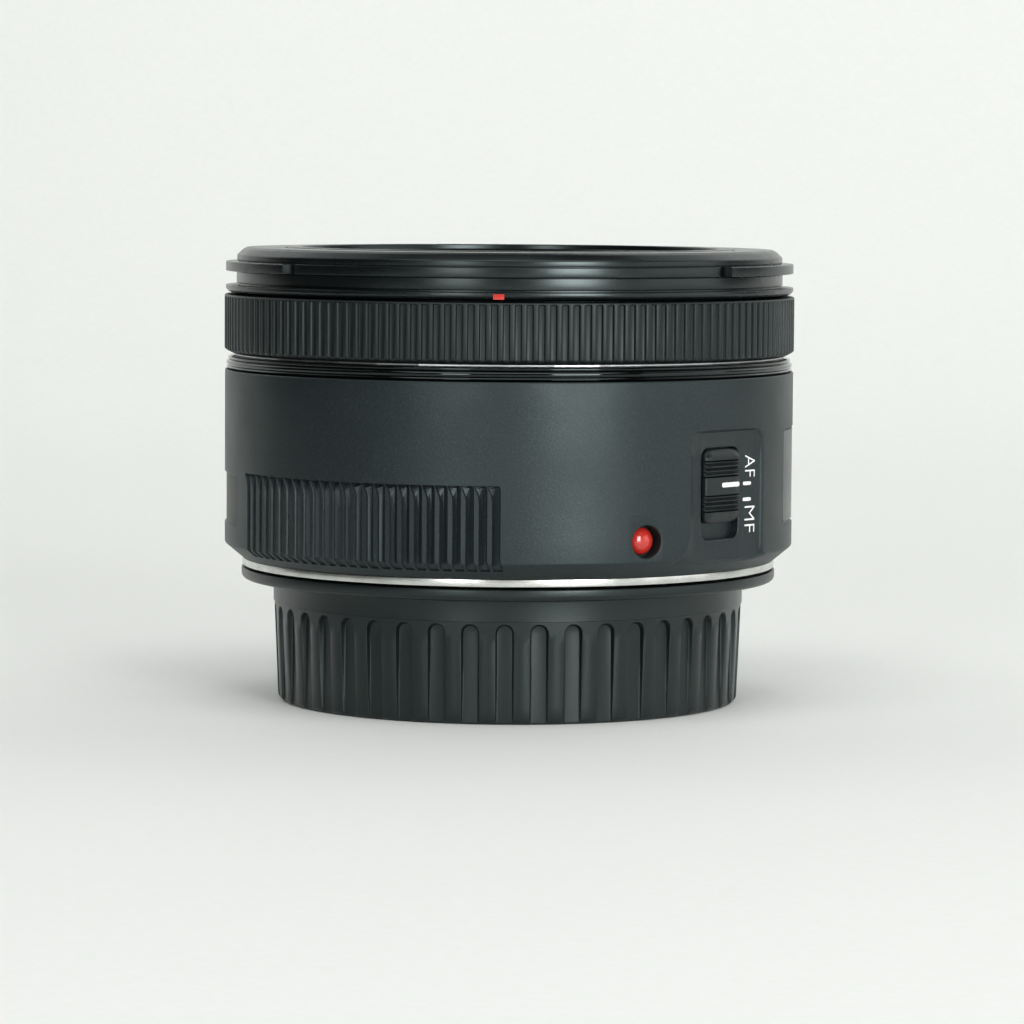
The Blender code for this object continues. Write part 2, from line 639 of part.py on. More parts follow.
def drive_slot(steps=4):
    """Outline of the drive ring's first slot: the cam pin's path, seen from the turning ring."""
    pivot = polar(0, BLADE_PIVOT_R)
    pin = polar(BLADE_PIN_ANGLE, BLADE_PIN_R)
    arm = (pin[0] - pivot[0], pin[1] - pivot[1])
    path = []
    for i in range(steps + 1):
        dx, dy = turned(arm, BLADE_TURN * i / steps)
        path.append(turned((pivot[0] + dx, pivot[1] + dy), -DRIVE_TURN * i / steps))
    half = BLADE_PIN + 0.15
    for end, inside in ((0, 1), (steps, steps - 1)):
        dx, dy = path[end][0] - path[inside][0], path[end][1] - path[inside][1]
        reach = 1 + half / math.hypot(dx, dy)
        path[end] = (path[inside][0] + reach * dx, path[inside][1] + reach * dy)
    sides = ([], [])
    for i, (x, y) in enumerate(path):
        before, after = path[max(i - 1, 0)], path[min(i + 1, steps)]
        dx, dy = after[0] - before[0], after[1] - before[1]
        length = math.hypot(dx, dy)
        for side, sign in zip(sides, (1, -1)):
            side.append((x - sign * half * dy / length, y + sign * half * dx / length))
    return sides[0] + sides[1][::-1]


def make_blade(i, body):
    """A crescent plate with its pivot pin below it and its cam pin above it."""
    pivot = polar(0, BLADE_PIVOT_R)
    z0 = BLADE_Z + BLADE_STEP * i
    z1 = z0 + BLADE_THICK
    outline = [polar(-4, 16.3), polar(5, 16.3), polar(13, 15.9), polar(14, 14.9), polar(17, 13.9)]
    outline += arc(13.9, 24, 57, 3) + [polar(62, 11.7)] + arc(9.6, 60, 10, 5)
    outline += [polar(0, 11.5), polar(-5, 14.0)]
    plate = prism([(x - pivot[0], y - pivot[1]) for x, y in outline], z0, z1)
    pin = polar(BLADE_PIN_ANGLE, BLADE_PIN_R)
    turn = Matrix.Rotation(math.radians(blade_angle(i)), 4, "Z")
    bmesh.ops.transform(plate, matrix=turn, verts=plate.verts)
    at = (*polar(blade_angle(i), BLADE_PIVOT_R), 0)
    blade = make_object(f"aperture_blade_{i + 1}", plate, "blade_steel", body, at)
    pins = rod(0.35, 31.5, z0 + BLADE_THICK / 2, 8)
    cam_pin = disc(BLADE_PIN, 8, (pin[0] - pivot[0], pin[1] - pivot[1]))
    add_prism(pins, cam_pin, z0 + BLADE_THICK / 2, 33.5)
    bmesh.ops.transform(pins, matrix=turn, verts=pins.verts)
    combine(blade, pins, "UNION", "pins", at)


def make_diaphragm(inner, drive, blades):
    base = [(9.3, 31.3), (17.5, 31.3), (17.5, 33.85), (17.05, 33.85), (17.05, 31.9), (9.3, 31.9)]
    housing = make_object("aperture_housing", lathe(base, INSIDE), "black_plastic", inner)
    holes = bmesh.new()
    for i in range(BLADES):
        add_prism(holes, disc(0.5, 10, polar(blade_angle(i), BLADE_PIVOT_R)), 31.4, 32.2)
    combine(housing, holes, "DIFFERENCE", "pivot_holes")
    z0, z1 = DRIVE_Z
    ring = [(12.4, z0), (16.85, z0), (16.85, z1), (12.4, z1)]
    drive_ring = make_object("aperture_drive_ring", lathe(ring, INSIDE), "white_plastic", drive)
    slots = bmesh.new()
    for i in range(BLADES):
        outline = [turned(point, blade_angle(i)) for point in drive_slot()]
        add_prism(slots, outline, z0 - 0.5, z1 + 0.5)
    combine(drive_ring, slots, "DIFFERENCE", "slots")
    for i, body in enumerate(blades):
        make_blade(i, body)


# ---------------------------------------------------------------- assembly

def main():
    for obj in list(bpy.data.objects):
        bpy.data.objects.remove(obj)
    cap, lens, ring, cam, inner, drive, switch, idler, pinion = (
        make_body(name) for name in ("cap_body", "lens_body", "focus_ring_body", "cam_body",
                                     "inner_body", "drive_body", "switch_body", "idler_body",
                                     "pinion_body"))
    blades = [make_body(f"blade_body_{i + 1}") for i in range(BLADES)]
    for child, parent in ((lens, cap), (ring, lens), (cam, lens), (inner, lens), (switch, lens),
                          (idler, lens), (pinion, lens), (drive, inner)):
        child.parent = parent
    for blade in blades:
        blade.parent = inner
    make_rear_cap(cap)
    make_mount(lens)
    make_rear(lens)
    make_outer_barrel(lens)
    make_barrel_trim(lens)
    make_switch_board(lens)
    make_switch(switch)
    make_focus_ring(ring)
    make_front_ring(lens)
    make_guide_tube(lens)
    make_cam_ring(cam)
    make_focus_drive(lens, idler, pinion)
    make_circuit_board(lens)
    make_inner_barrel(inner)
    make_optics(inner)
    make_diaphragm(inner, drive, blades)


main()
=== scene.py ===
# %% [markdown]
# # An autofocus prime lens on its rear cap
#
# This script dresses a working CAD model of a lens. The CAD model already has the right sizes and
# moves the right way, but its round pieces have flat sides. Here each visible piece is made again
# with its real edges, ribs and finish, and rides on the CAD body that it belongs to.
# Sizes are in millimetres until a mesh is made. Angles start at the front (-Y) and grow towards +X.

import math

import bmesh
import bpy
import numpy as np
from mathutils import Matrix, Vector
from mathutils.geometry import delaunay_2d_cdt


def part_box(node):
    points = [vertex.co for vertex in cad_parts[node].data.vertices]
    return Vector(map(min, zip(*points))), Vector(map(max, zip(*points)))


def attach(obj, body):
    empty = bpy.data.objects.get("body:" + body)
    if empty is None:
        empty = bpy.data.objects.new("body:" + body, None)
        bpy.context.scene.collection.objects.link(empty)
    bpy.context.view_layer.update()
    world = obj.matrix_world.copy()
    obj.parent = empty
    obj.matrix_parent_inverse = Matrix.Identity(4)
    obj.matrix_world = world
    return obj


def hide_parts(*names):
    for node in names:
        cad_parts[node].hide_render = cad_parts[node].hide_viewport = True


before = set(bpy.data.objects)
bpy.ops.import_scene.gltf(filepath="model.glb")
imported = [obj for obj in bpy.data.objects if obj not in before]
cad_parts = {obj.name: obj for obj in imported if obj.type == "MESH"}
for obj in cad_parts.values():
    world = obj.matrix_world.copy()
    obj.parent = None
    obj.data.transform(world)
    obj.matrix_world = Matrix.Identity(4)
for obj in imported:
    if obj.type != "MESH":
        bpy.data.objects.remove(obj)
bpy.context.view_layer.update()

# %% [markdown]
# ## Measures taken from the frame
#
# A lens is a stack of rings on one axis, so almost every place in it is a radius and a height. They
# are read from the boxes of the CAD pieces: the widest point along X is a ring's radius.

# %% Radii and heights
MM = 0.001


def ring_size(node):
    """Outer radius, lowest and highest point of a CAD ring, in millimetres."""
    low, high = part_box(node)
    return max(high.x, -low.x) / MM, low.z / MM, high.z / MM


CAP_RIM_R, _, CAP_TOP = ring_size("rear_cap")
MOUNT_R, TUBE_END, _ = ring_size("mount_ring")
BODY_R, BODY_Z0, BODY_TOP = ring_size("outer_barrel")
_, TRIM_Z0, TRIM_TOP = ring_size("trim_ring")
GRIP_R, GRIP_Z0, GRIP_TOP = ring_size("focus_ring")
HOOD_R, SLEEVE_Z0, HOOD_TOP = ring_size("front_ring")
INNER_R, INNER_Z0, INNER_TOP = ring_size("inner_barrel")
print(f"barrel {2 * BODY_R:.1f} mm across, {BODY_Z0:.2f} to {BODY_TOP:.2f} mm high")
print(f"focus ring {2 * GRIP_R:.1f} mm across, front rim at {INNER_TOP:.2f} mm")

# %% [markdown]
# ## Camera
#
# A small product is best seen from about half a metre through a long lens, so that near and far
# edges keep almost the same size. The camera stands a little above the front rim and looks slightly
# down, which opens the rings into thin ellipses.

# %% Camera
camera_data = bpy.data.cameras.new("camera")
camera_data.lens = 154.5
camera_data.sensor_width = 36
camera_data.clip_start = 0.01
camera = bpy.data.objects.new("camera", camera_data)
bpy.context.scene.collection.objects.link(camera)
CAMERA_AT = Vector((0.00046, -0.5353, 0.0636))
CAMERA_DOWN = math.radians(4.365)
CAMERA_ROLL = math.radians(0.361)
look = Matrix.Rotation(math.radians(90) - CAMERA_DOWN, 4, "X") @ Matrix.Rotation(CAMERA_ROLL, 4, "Z")
camera.matrix_world = Matrix.Translation(CAMERA_AT) @ look
bpy.context.scene.camera = camera
print("camera", round(-CAMERA_AT.y / MM), "mm in front of the lens")

# %% [markdown]
# ## Building helpers
#
# Rings come from an outline of (radius, height) points swept round the axis. Real moulded and turned
# edges are never knife sharp: a radius of a tenth of a millimetre is what catches the light, so an
# outline may give each corner a radius of its own.

# %% Points and outlines
ROUND_STEPS = 256


def polar(angle, radius):
    """The point at this angle from -Y towards +X."""
    turn = math.radians(angle)
    return radius * math.sin(turn), -radius * math.cos(turn)


def soften(outline, closed=True, steps=3):
    """Rounds each corner (x, y, radius) of an outline with a short curve; radius 0 stays sharp."""
    points = []
    for i, (x, y, radius) in enumerate(outline):
        corner = Vector((x, y))
        at_end = not closed and i in (0, len(outline) - 1)
        if radius == 0 or at_end:
            points.append((x, y))
            continue
        to_last = Vector(outline[i - 1][:2]) - corner
        to_next = Vector(outline[(i + 1) % len(outline)][:2]) - corner
        half_turn = to_last.angle(to_next) / 2
        reach = min(radius / math.tan(half_turn), 0.48 * to_last.length, 0.48 * to_next.length)
        start = corner + reach * to_last.normalized()
        end = corner + reach * to_next.normalized()
        for k in range(steps + 1):
            t = k / steps
            points.append(tuple((1 - t) ** 2 * start + 2 * t * (1 - t) * corner + t * t * end))
    return points


def arc_points(radius, start, end, steps, centre=(0, 0)):
    """Points on a circle, with degrees counted from the x direction."""
    turns = [math.radians(start + (end - start) * k / steps) for k in range(steps + 1)]
    return [(centre[0] + radius * math.cos(turn), centre[1] + radius * math.sin(turn))
            for turn in turns]


print("soften: a square corner becomes", len(soften([(0, 0, 0), (1, 0, 0.2), (1, 1, 0)], False)), "points")

# %% [markdown]
# ## From a bmesh to a finished piece
#
# Every new piece goes through one function: doubles are merged, normals are turned outwards, and the
# mesh is scaled from millimetres. The object stays at the origin, because its place is in its mesh.

# %% Pieces
def finished_mesh(name, bm, merge=1e-4):
    """A mesh in metres from a bmesh in millimetres, merged and with its faces pointing out."""
    bmesh.ops.remove_doubles(bm, verts=bm.verts, dist=merge)
    bmesh.ops.recalc_face_normals(bm, faces=bm.faces)
    bmesh.ops.scale(bm, vec=(MM, MM, MM), verts=bm.verts)
    mesh = bpy.data.meshes.new(name)
    bm.to_mesh(mesh)
    bm.free()
    return mesh


def place_piece(name, mesh, material, body, replaced=(), sharp=35):
    """Links a finished mesh as a piece that rides on a CAD body."""
    piece = bpy.data.objects.new(name, mesh)
    bpy.context.scene.collection.objects.link(piece)
    mesh.materials.clear()
    mesh.materials.append(material)
    mesh.shade_smooth()
    mesh.set_sharp_from_angle(angle=math.radians(sharp))
    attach(piece, body)
    if replaced:
        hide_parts(*replaced)
    print(f"{name}: {len(mesh.polygons)} faces on {body}")
    return piece


def swept(outline_at, angles=None):
    """Sweeps a closed outline of (radius, z) points round the axis. It may change with the angle."""
    bm = bmesh.new()
    if angles is None:
        angles = [360 * k / ROUND_STEPS for k in range(ROUND_STEPS)]
    loops = []
    for angle in angles:
        loops.append([bm.verts.new((*polar(angle, radius), z)) for radius, z in outline_at(angle)])
    for one, two in zip(loops, loops[1:] + loops[:1]):
        for i in range(len(one)):
            bm.faces.new((one[i - 1], one[i], two[i], two[i - 1]))
    return bm


def turned(outline):
    """A plain turned ring from an outline with corner radii."""
    points = soften(outline)
    return swept(lambda angle: points)


# %% [markdown]
# ## Materials
#
# Each material is a small node tree that starts from what the real one is. One function adds a node,
# sets it and links it, and one turns a hex colour into the linear light that the shader works in.

# %% Material helpers
def linear(hex_colour):
    """Linear red, green, blue and alpha from an sRGB hex colour."""
    channels = [int(hex_colour[i:i + 2], 16) / 255 for i in (0, 2, 4)]
    return [c / 12.92 if c <= 0.04045 else ((c + 0.055) / 1.055) ** 2.4 for c in channels] + [1.0]


def add_node(tree, kind, inputs=(), **settings):
    """Adds a node. Its inputs are (socket, value) pairs, and a value may be another node's output."""
    node = tree.nodes.new(kind)
    for name, value in settings.items():
        setattr(node, name, value)
    for socket, value in inputs:
        if isinstance(value, bpy.types.NodeSocket):
            tree.links.new(value, node.inputs[socket])
        else:
            node.inputs[socket].default_value = value
    return node


def new_material(name, **values):
    """A material with one Principled shader, whose even values are set on its own sockets."""
    material = bpy.data.materials.new(name)
    material.use_nodes = True
    shader = material.node_tree.nodes["Principled BSDF"]
    for key, value in values.items():
        shader.inputs[key.replace("_", " ")].default_value = value
    return material, material.node_tree, shader


def object_point(tree):
    return add_node(tree, "ShaderNodeTexCoord").outputs["Object"]


def noise(tree, point, grain_mm, detail=2.0, roughness=0.5):
    """Noise whose blobs are about grain_mm across."""
    return add_node(tree, "ShaderNodeTexNoise", [("Vector", point), ("Scale", 1 / (grain_mm * MM)),
                    ("Detail", detail), ("Roughness", roughness)]).outputs["Fac"]


def remap(tree, value, low, high, new_low, new_high):
    return add_node(tree, "ShaderNodeMapRange", [("Value", value), ("From Min", low),
                    ("From Max", high), ("To Min", new_low), ("To Max", new_high)]).outputs["Result"]


def blend_colours(tree, factor, colour_a, colour_b):
    """Mixes two colours, which are hex strings or the outputs of other nodes."""
    a, b = (linear(c) if isinstance(c, str) else c for c in (colour_a, colour_b))
    return add_node(tree, "ShaderNodeMix", [(0, factor), (6, a), (7, b)], data_type="RGBA").outputs[2]


def bump(tree, shader, height, depth_mm, strength=1.0):
    node = add_node(tree, "ShaderNodeBump", [("Height", height), ("Distance", depth_mm * MM),
                    ("Strength", strength)])
    tree.links.new(node.outputs["Normal"], shader.inputs["Normal"])


def around_axis(tree):
    """A point made of distance from the axis and height, so that patterns run round a turned piece."""
    split = add_node(tree, "ShaderNodeSeparateXYZ", [(0, object_point(tree))])
    flat = add_node(tree, "ShaderNodeCombineXYZ", [(0, split.outputs[0]), (1, split.outputs[1])])
    length = add_node(tree, "ShaderNodeVectorMath", [(0, flat.outputs[0])], operation="LENGTH")
    return add_node(tree, "ShaderNodeCombineXYZ", [(0, length.outputs["Value"]),
                    (2, split.outputs[2])]).outputs[0]


# %% [markdown]
# ### Moulded black plastics
#
# The barrel is glass-filled polycarbonate from a mould whose steel was spark eroded, which leaves a
# pebbled skin of grains about 0.15 mm across. The eye reads it as a matt surface full of tiny grey
# glints of light, which are painted here as dots of lighter base colour. They are drawn at 0.22 mm, a
# little coarser than they are, so that they still show at this distance. Grain and painted glint
# share one noise, so each painted glint sits on a raised grain as its painted highlight. Where the
# plastic is handled its tops polish a little, which a slow noise gives by moving the roughness.

# %% Black plastics
PLASTIC_SHEEN = linear("E2F4F4")     # a cool tint that black plastics show in their reflections


def moulded_plastic(name, dark, light, rough, grain_mm, grain_depth_mm, glint_strength=0.5):
    material, tree, shader = new_material(name, IOR=1.5, Specular_Tint=PLASTIC_SHEEN)
    point = object_point(tree)
    grain = noise(tree, point, grain_mm, detail=3.0, roughness=0.6)
    patches = noise(tree, point, 9.0, detail=2.0)
    # painted highlights: the lighter colour goes on the raised grain tops as painted glints
    painted_glints = remap(tree, grain, 0.45, 0.72, 0.0, glint_strength)
    shade = blend_colours(tree, painted_glints, dark, light)
    tree.links.new(shade, shader.inputs["Base Color"])
    wear = remap(tree, patches, 0.3, 0.7, rough - 0.04, rough + 0.04)
    tree.links.new(wear, shader.inputs["Roughness"])
    bump(tree, shader, grain, grain_depth_mm)
    return material


# the second colour of each plastic is its painted glint colour on the grain tops
barrel_plastic = moulded_plastic("spark_eroded_polycarbonate", "11181A", "2B3538", 0.42, 0.22, 0.018)
ring_plastic = moulded_plastic("fine_matt_polycarbonate", "090C0D", "14191A", 0.45, 0.16, 0.008, 0.4)
front_plastic = moulded_plastic("semi_matt_polycarbonate", "080B0C", "12181A", 0.27, 0.14, 0.005, 0.35)
cap_plastic = moulded_plastic("moulded_polypropylene", "0C1011", "191F20", 0.33, 0.3, 0.009, 0.35)
switch_plastic = moulded_plastic("moulded_acetal_black", "0E1212", "1E2424", 0.36, 0.12, 0.004, 0.3)
print("black plastics:", [m.name for m in (barrel_plastic, ring_plastic, front_plastic, cap_plastic)])

# %% [markdown]
# ### Polished trim, red enamel and white pad print
#
# The trim ring is moulded in a polished tool, so it mirrors the softboxes as clean bright lines. A
# little dust keeps it from looking unreal. The index dot is a dome of glossy red enamel. The lettering
# is pad printed: a rubber pad leaves a thin, slightly uneven film of white ink.

# %% Trim, enamel and ink
def polished_plastic():
    material, tree, shader = new_material("polished_black_trim", IOR=1.5,
                                          Specular_Tint=PLASTIC_SHEEN)
    point = object_point(tree)
    dust = remap(tree, noise(tree, point, 0.35, detail=4.0), 0.76, 0.82, 0.0, 0.3)
    tree.links.new(blend_colours(tree, dust, "040505", "7A807E"), shader.inputs["Base Color"])
    tree.links.new(remap(tree, dust, 0.0, 0.3, 0.06, 0.5), shader.inputs["Roughness"])
    bump(tree, shader, noise(tree, point, 6.0), 0.01)
    return material


def enamel():
    material, tree, shader = new_material("red_index_enamel", Roughness=0.22, IOR=1.5,
                                          Coat_Weight=0.6, Coat_Roughness=0.08)
    point = object_point(tree)
    shade = blend_colours(tree, noise(tree, point, 0.8), "B0211B", "CF372C")
    tree.links.new(shade, shader.inputs["Base Color"])
    bump(tree, shader, noise(tree, point, 0.35, detail=1.0), 0.02)
    return material


def pad_print():
    material, tree, shader = new_material("white_pad_print", Roughness=0.55)
    point = object_point(tree)
    film = remap(tree, noise(tree, point, 0.12, detail=2.0), 0.3, 0.6, 0.0, 1.0)
    tree.links.new(blend_colours(tree, film, "D5D8D4", "F4F5F2"), shader.inputs["Base Color"])
    bump(tree, shader, film, 0.004)
    return material


trim_gloss = polished_plastic()
index_red = enamel()
print_white = pad_print()
print("trim, enamel and print ready")

# %% [markdown]
# ### Metals
#
# The mount is brass, turned on a lathe and plated with satin chrome. The tool leaves rings so fine
# that they stretch each reflection sideways. They are drawn about a tenth of a millimetre apart, which
# is coarser than a real finishing cut. The pattern follows distance and height only, so it runs round
# the piece. A metal keeps the shader's default index of refraction.

# %% Metals
def turned_metal(name, colour, dark, rough, ring_mm):
    material, tree, shader = new_material(name, Metallic=1.0)
    rings = noise(tree, around_axis(tree), ring_mm, detail=3.0)
    spots = noise(tree, object_point(tree), 2.5, detail=4.0, roughness=0.65)
    tree.links.new(blend_colours(tree, remap(tree, spots, 0.35, 0.75, 0.0, 0.6), colour, dark),
                   shader.inputs["Base Color"])
    tree.links.new(remap(tree, rings, 0.3, 0.7, rough - 0.06, rough + 0.08),
                   shader.inputs["Roughness"])
    bump(tree, shader, rings, 0.004)
    return material


mount_chrome = turned_metal("satin_chrome_plate", "D8DAD6", "A9ABA6", 0.24, 0.12)
plated_steel = turned_metal("zinc_plated_steel", "B4B7B8", "8C8F90", 0.32, 0.08)
contact_gold = turned_metal("gold_plated_brass", "E2B868", "B98C42", 0.22, 0.06)
brass = turned_metal("turned_brass", "CDA45A", "A67F3C", 0.3, 0.1)
print("metals:", [m.name for m in (mount_chrome, plated_steel, contact_gold, brass)])

# %% [markdown]
# ### Glass, blades, boards and gears
#
# The elements are optical glass with a multilayer coating. A thin film on the shader gives the coloured
# reflections that show which way the coating is tuned. Blades are blackened steel, with faint rolling
# marks. Gears and the cam ring are natural acetal, milky and slightly glossy. The boards are green
# solder mask with copper tracks showing through.

# %% Glass and inner materials
def coated_glass(name, film_nm):
    material, tree, shader = new_material(name, Roughness=0.0, IOR=1.62, Transmission_Weight=1.0,
                                          Thin_Film_Thickness=film_nm, Thin_Film_IOR=1.38)
    haze = noise(tree, object_point(tree), 6.0)
    tree.links.new(blend_colours(tree, haze, "F4F8F8", "FFFFFF"), shader.inputs["Base Color"])
    return material


def blackened_steel():
    material, tree, shader = new_material("blackened_blade_steel", Metallic=0.7)
    rolled = noise(tree, object_point(tree), 0.5, detail=4.0)
    tree.links.new(blend_colours(tree, rolled, "141617", "2C2F31"), shader.inputs["Base Color"])
    tree.links.new(remap(tree, rolled, 0.3, 0.7, 0.34, 0.5), shader.inputs["Roughness"])
    bump(tree, shader, rolled, 0.002)
    return material


def acetal():
    material, tree, shader = new_material("natural_acetal", Roughness=0.4, IOR=1.48,
                                          Subsurface_Weight=0.15)
    point = object_point(tree)
    shade = blend_colours(tree, noise(tree, point, 3.0), "D4D2C8", "E6E4DA")
    tree.links.new(shade, shader.inputs["Base Color"])
    bump(tree, shader, noise(tree, point, 0.2), 0.006)
    return material


def circuit_board_finish():
    material, tree, shader = new_material("green_solder_mask", Roughness=0.35, IOR=1.55)
    point = object_point(tree)
    tracks = add_node(tree, "ShaderNodeTexVoronoi", [("Vector", point), ("Scale", 1 / (1.2 * MM))],
                      distance="CHEBYCHEV").outputs["Distance"]
    track = remap(tree, tracks, 0.30, 0.34, 0.0, 1.0)
    tree.links.new(blend_colours(tree, track, "1C5636", "2F7448"), shader.inputs["Base Color"])
    bump(tree, shader, track, 0.03)
    return material


FRONT_FILM_NM, INNER_FILM_NM = 420, 330
front_glass = coated_glass("coated_front_glass", FRONT_FILM_NM)
inner_glass = coated_glass("coated_inner_glass", INNER_FILM_NM)
blade_steel = blackened_steel()
milky_acetal = acetal()
board_green = circuit_board_finish()
print("glass, blades, acetal and boards ready")

# %% [markdown]
# ## One Geometry Nodes tree for everything that repeats
#
# Flutes, ribs, screws, pins and thread turns all repeat round the axis. One slice is modelled,
# and the tree sets copies of it round in a circle, makes them real, welds the edges where they meet
# and gives them their material. Its sizes are named inputs, so one tree serves every piece.

# %% The ring-of-slices tree
def slices_tree():
    tree = bpy.data.node_groups.new("ring_of_slices", "GeometryNodeTree")
    sockets = tree.interface
    sockets.new_socket("Slice", in_out="INPUT", socket_type="NodeSocketGeometry")
    sockets.new_socket("Count", in_out="INPUT", socket_type="NodeSocketInt")
    sockets.new_socket("Step angle", in_out="INPUT", socket_type="NodeSocketFloat")
    sockets.new_socket("First angle", in_out="INPUT", socket_type="NodeSocketFloat")
    sockets.new_socket("Rise per copy", in_out="INPUT", socket_type="NodeSocketFloat")
    sockets.new_socket("Weld distance", in_out="INPUT", socket_type="NodeSocketFloat")
    sockets.new_socket("Finish", in_out="INPUT", socket_type="NodeSocketMaterial")
    sockets.new_socket("Ring", in_out="OUTPUT", socket_type="NodeSocketGeometry")
    inputs = add_node(tree, "NodeGroupInput").outputs
    index = add_node(tree, "GeometryNodeInputIndex").outputs[0]
    turn = add_node(tree, "ShaderNodeMath", [(0, index), (1, inputs["Step angle"]),
                    (2, inputs["First angle"])], operation="MULTIPLY_ADD").outputs[0]
    rise = add_node(tree, "ShaderNodeMath", [(0, index), (1, inputs["Rise per copy"])],
                    operation="MULTIPLY").outputs[0]
    height = add_node(tree, "ShaderNodeCombineXYZ", [(2, rise)]).outputs[0]
    spin = add_node(tree, "ShaderNodeCombineXYZ", [(2, turn)]).outputs[0]
    points = add_node(tree, "GeometryNodePoints", [("Count", inputs["Count"]), ("Position", height)])
    copies = add_node(tree, "GeometryNodeInstanceOnPoints", [("Points", points.outputs[0]),
                      ("Instance", inputs["Slice"]), ("Rotation", spin)])
    real = add_node(tree, "GeometryNodeRealizeInstances", [("Geometry", copies.outputs[0])])
    welded = add_node(tree, "GeometryNodeMergeByDistance", [("Geometry", real.outputs[0]),
                      ("Distance", inputs["Weld distance"])])
    painted = add_node(tree, "GeometryNodeSetMaterial", [("Geometry", welded.outputs[0]),
                       ("Material", inputs["Finish"])])
    add_node(tree, "NodeGroupOutput", [("Ring", painted.outputs[0])])
    return tree


SLICES = slices_tree()
SOCKET = {item.name: item.identifier for item in SLICES.interface.items_tree}
WELD_MM = 0.002
print("ring_of_slices inputs:", [name for name in SOCKET if name != "Ring"])


def ring_of_slices(name, slice_bm, count, step, first, material, rise=0.0):
    """Runs the tree on one slice and returns the welded ring as a plain mesh."""
    source = bpy.data.objects.new(name, finished_mesh(name + "_slice", slice_bm))
    bpy.context.scene.collection.objects.link(source)
    modifier = source.modifiers.new("slices", "NODES")
    modifier.node_group = SLICES
    modifier[SOCKET["Count"]] = count
    modifier[SOCKET["Step angle"]] = math.radians(step)
    modifier[SOCKET["First angle"]] = math.radians(first)
    modifier[SOCKET["Rise per copy"]] = rise * MM
    modifier[SOCKET["Weld distance"]] = WELD_MM * MM
    modifier[SOCKET["Finish"]] = material
    evaluated = source.evaluated_get(bpy.context.evaluated_depsgraph_get())
    mesh = bpy.data.meshes.new_from_object(evaluated)
    bpy.data.objects.remove(source)
    return mesh


# %% [markdown]
# ## Rear cap
#
# The cap is one polypropylene moulding: a floor, a slightly tapered skirt with 44 finger flutes, a
# plain band and a rounded flange. It could be a turned ring with cutters, but a cut leaves hard
# corners. A slice one flute wide is laid out instead as U-shaped loops that follow the flute's edge,
# so the edge is rounded, and the tree repeats the slice round the cap.

# %% The flute slice
FLUTES = 44
FLUTE_PITCH = 360 / FLUTES
FLUTE_HALF = 1.0
FLUTE_TOP = 11.7
FLUTE_FLOOR_R = 27.75
FLUTE_PHASE = -0.6
FOOT_R, SKIRT_R, SKIRT_TOP = 28.0, 28.6, 14.6
CAP_BORE_R, CAP_FLOOR = 27.2, 1.6


def skirt_radius(z):
    """The skirt tapers towards the foot, and its lower edge is rounded."""
    wall = FOOT_R + (SKIRT_R - FOOT_R) * max(z, 0) / SKIRT_TOP
    edge = 0.7
    if z < edge:
        wall -= edge - math.sqrt(max(edge ** 2 - (edge - z) ** 2, 0))
    return wall


def skirt_vert(bm, across, z, sink):
    radius = skirt_radius(z)
    radius -= sink * max(radius - FLUTE_FLOOR_R, 0)
    return bm.verts.new((*polar(math.degrees(across / FOOT_R), radius), z))


def cap_slice():
    bm = bmesh.new()
    rows = [0.0, 0.08, 0.25, 0.45, 0.7] + [0.7 + k * 1.25 for k in range(1, 9)]
    arc_z = rows[-1]
    half_pitch = math.radians(FLUTE_PITCH) * FOOT_R / 2
    band_z = FLUTE_TOP + 0.35
    rim = [(-half_pitch, arc_z), (-half_pitch, (arc_z + band_z) / 2), (-half_pitch, band_z),
           (-half_pitch / 2, band_z), (0, band_z)]
    rim += [(-x, z) for x, z in rim[-2::-1]]
    loops = [[(-half_pitch, z) for z in rows[:-1]] + rim + [(half_pitch, z) for z in rows[-2::-1]]]
    for grow in (0.14, 0.05, 0.0, -0.05, -0.12, -0.24):
        half = FLUTE_HALF + grow
        arch = arc_points(half, 180, 0, 8, (0, FLUTE_TOP - FLUTE_HALF))
        left = [(-half, z) for z in rows[:-1]]
        loops.append(left + arch + [(-x, z) for x, z in left[::-1]])
    sinks = (0.0, 0.0, 0.1, 0.35, 0.8, 0.95, 1.0)
    strips = [[skirt_vert(bm, x, z, sink) for x, z in loop] for loop, sink in zip(loops, sinks)]
    for outer, inner in zip(strips, strips[1:]):
        for i in range(len(outer) - 1):
            bm.faces.new((outer[i], outer[i + 1], inner[i + 1], inner[i]))
    floor = strips[-1]
    middle = len(floor) // 2
    for i in range(middle - 1):
        bm.faces.new((floor[i], floor[i + 1], floor[-2 - i], floor[-1 - i]))
    bm.faces.new((floor[middle - 1], floor[middle], floor[middle + 1]))
    foot = [strip[0] for strip in strips] + [strip[-1] for strip in strips[::-1]]
    band = strips[0][len(rows) + 1:len(rows) + 6]
    return bm, foot, band


def extend(bm, row, radius, z):
    """Adds a row of faces from these vertices to the same angles at another radius and height."""
    new_row = []
    for vert in row:
        reach = math.hypot(vert.co.x, vert.co.y)
        new_row.append(bm.verts.new((vert.co.x / reach * radius, vert.co.y / reach * radius, z)))
    for i in range(len(row) - 1):
        bm.faces.new((row[i], row[i + 1], new_row[i + 1], new_row[i]))
    return new_row


def close_pole(bm, row, z):
    pole = bm.verts.new((0, 0, z))
    for i in range(len(row) - 1):
        bm.faces.new((row[i], row[i + 1], pole))


cap_bm, foot_row, band_row = cap_slice()
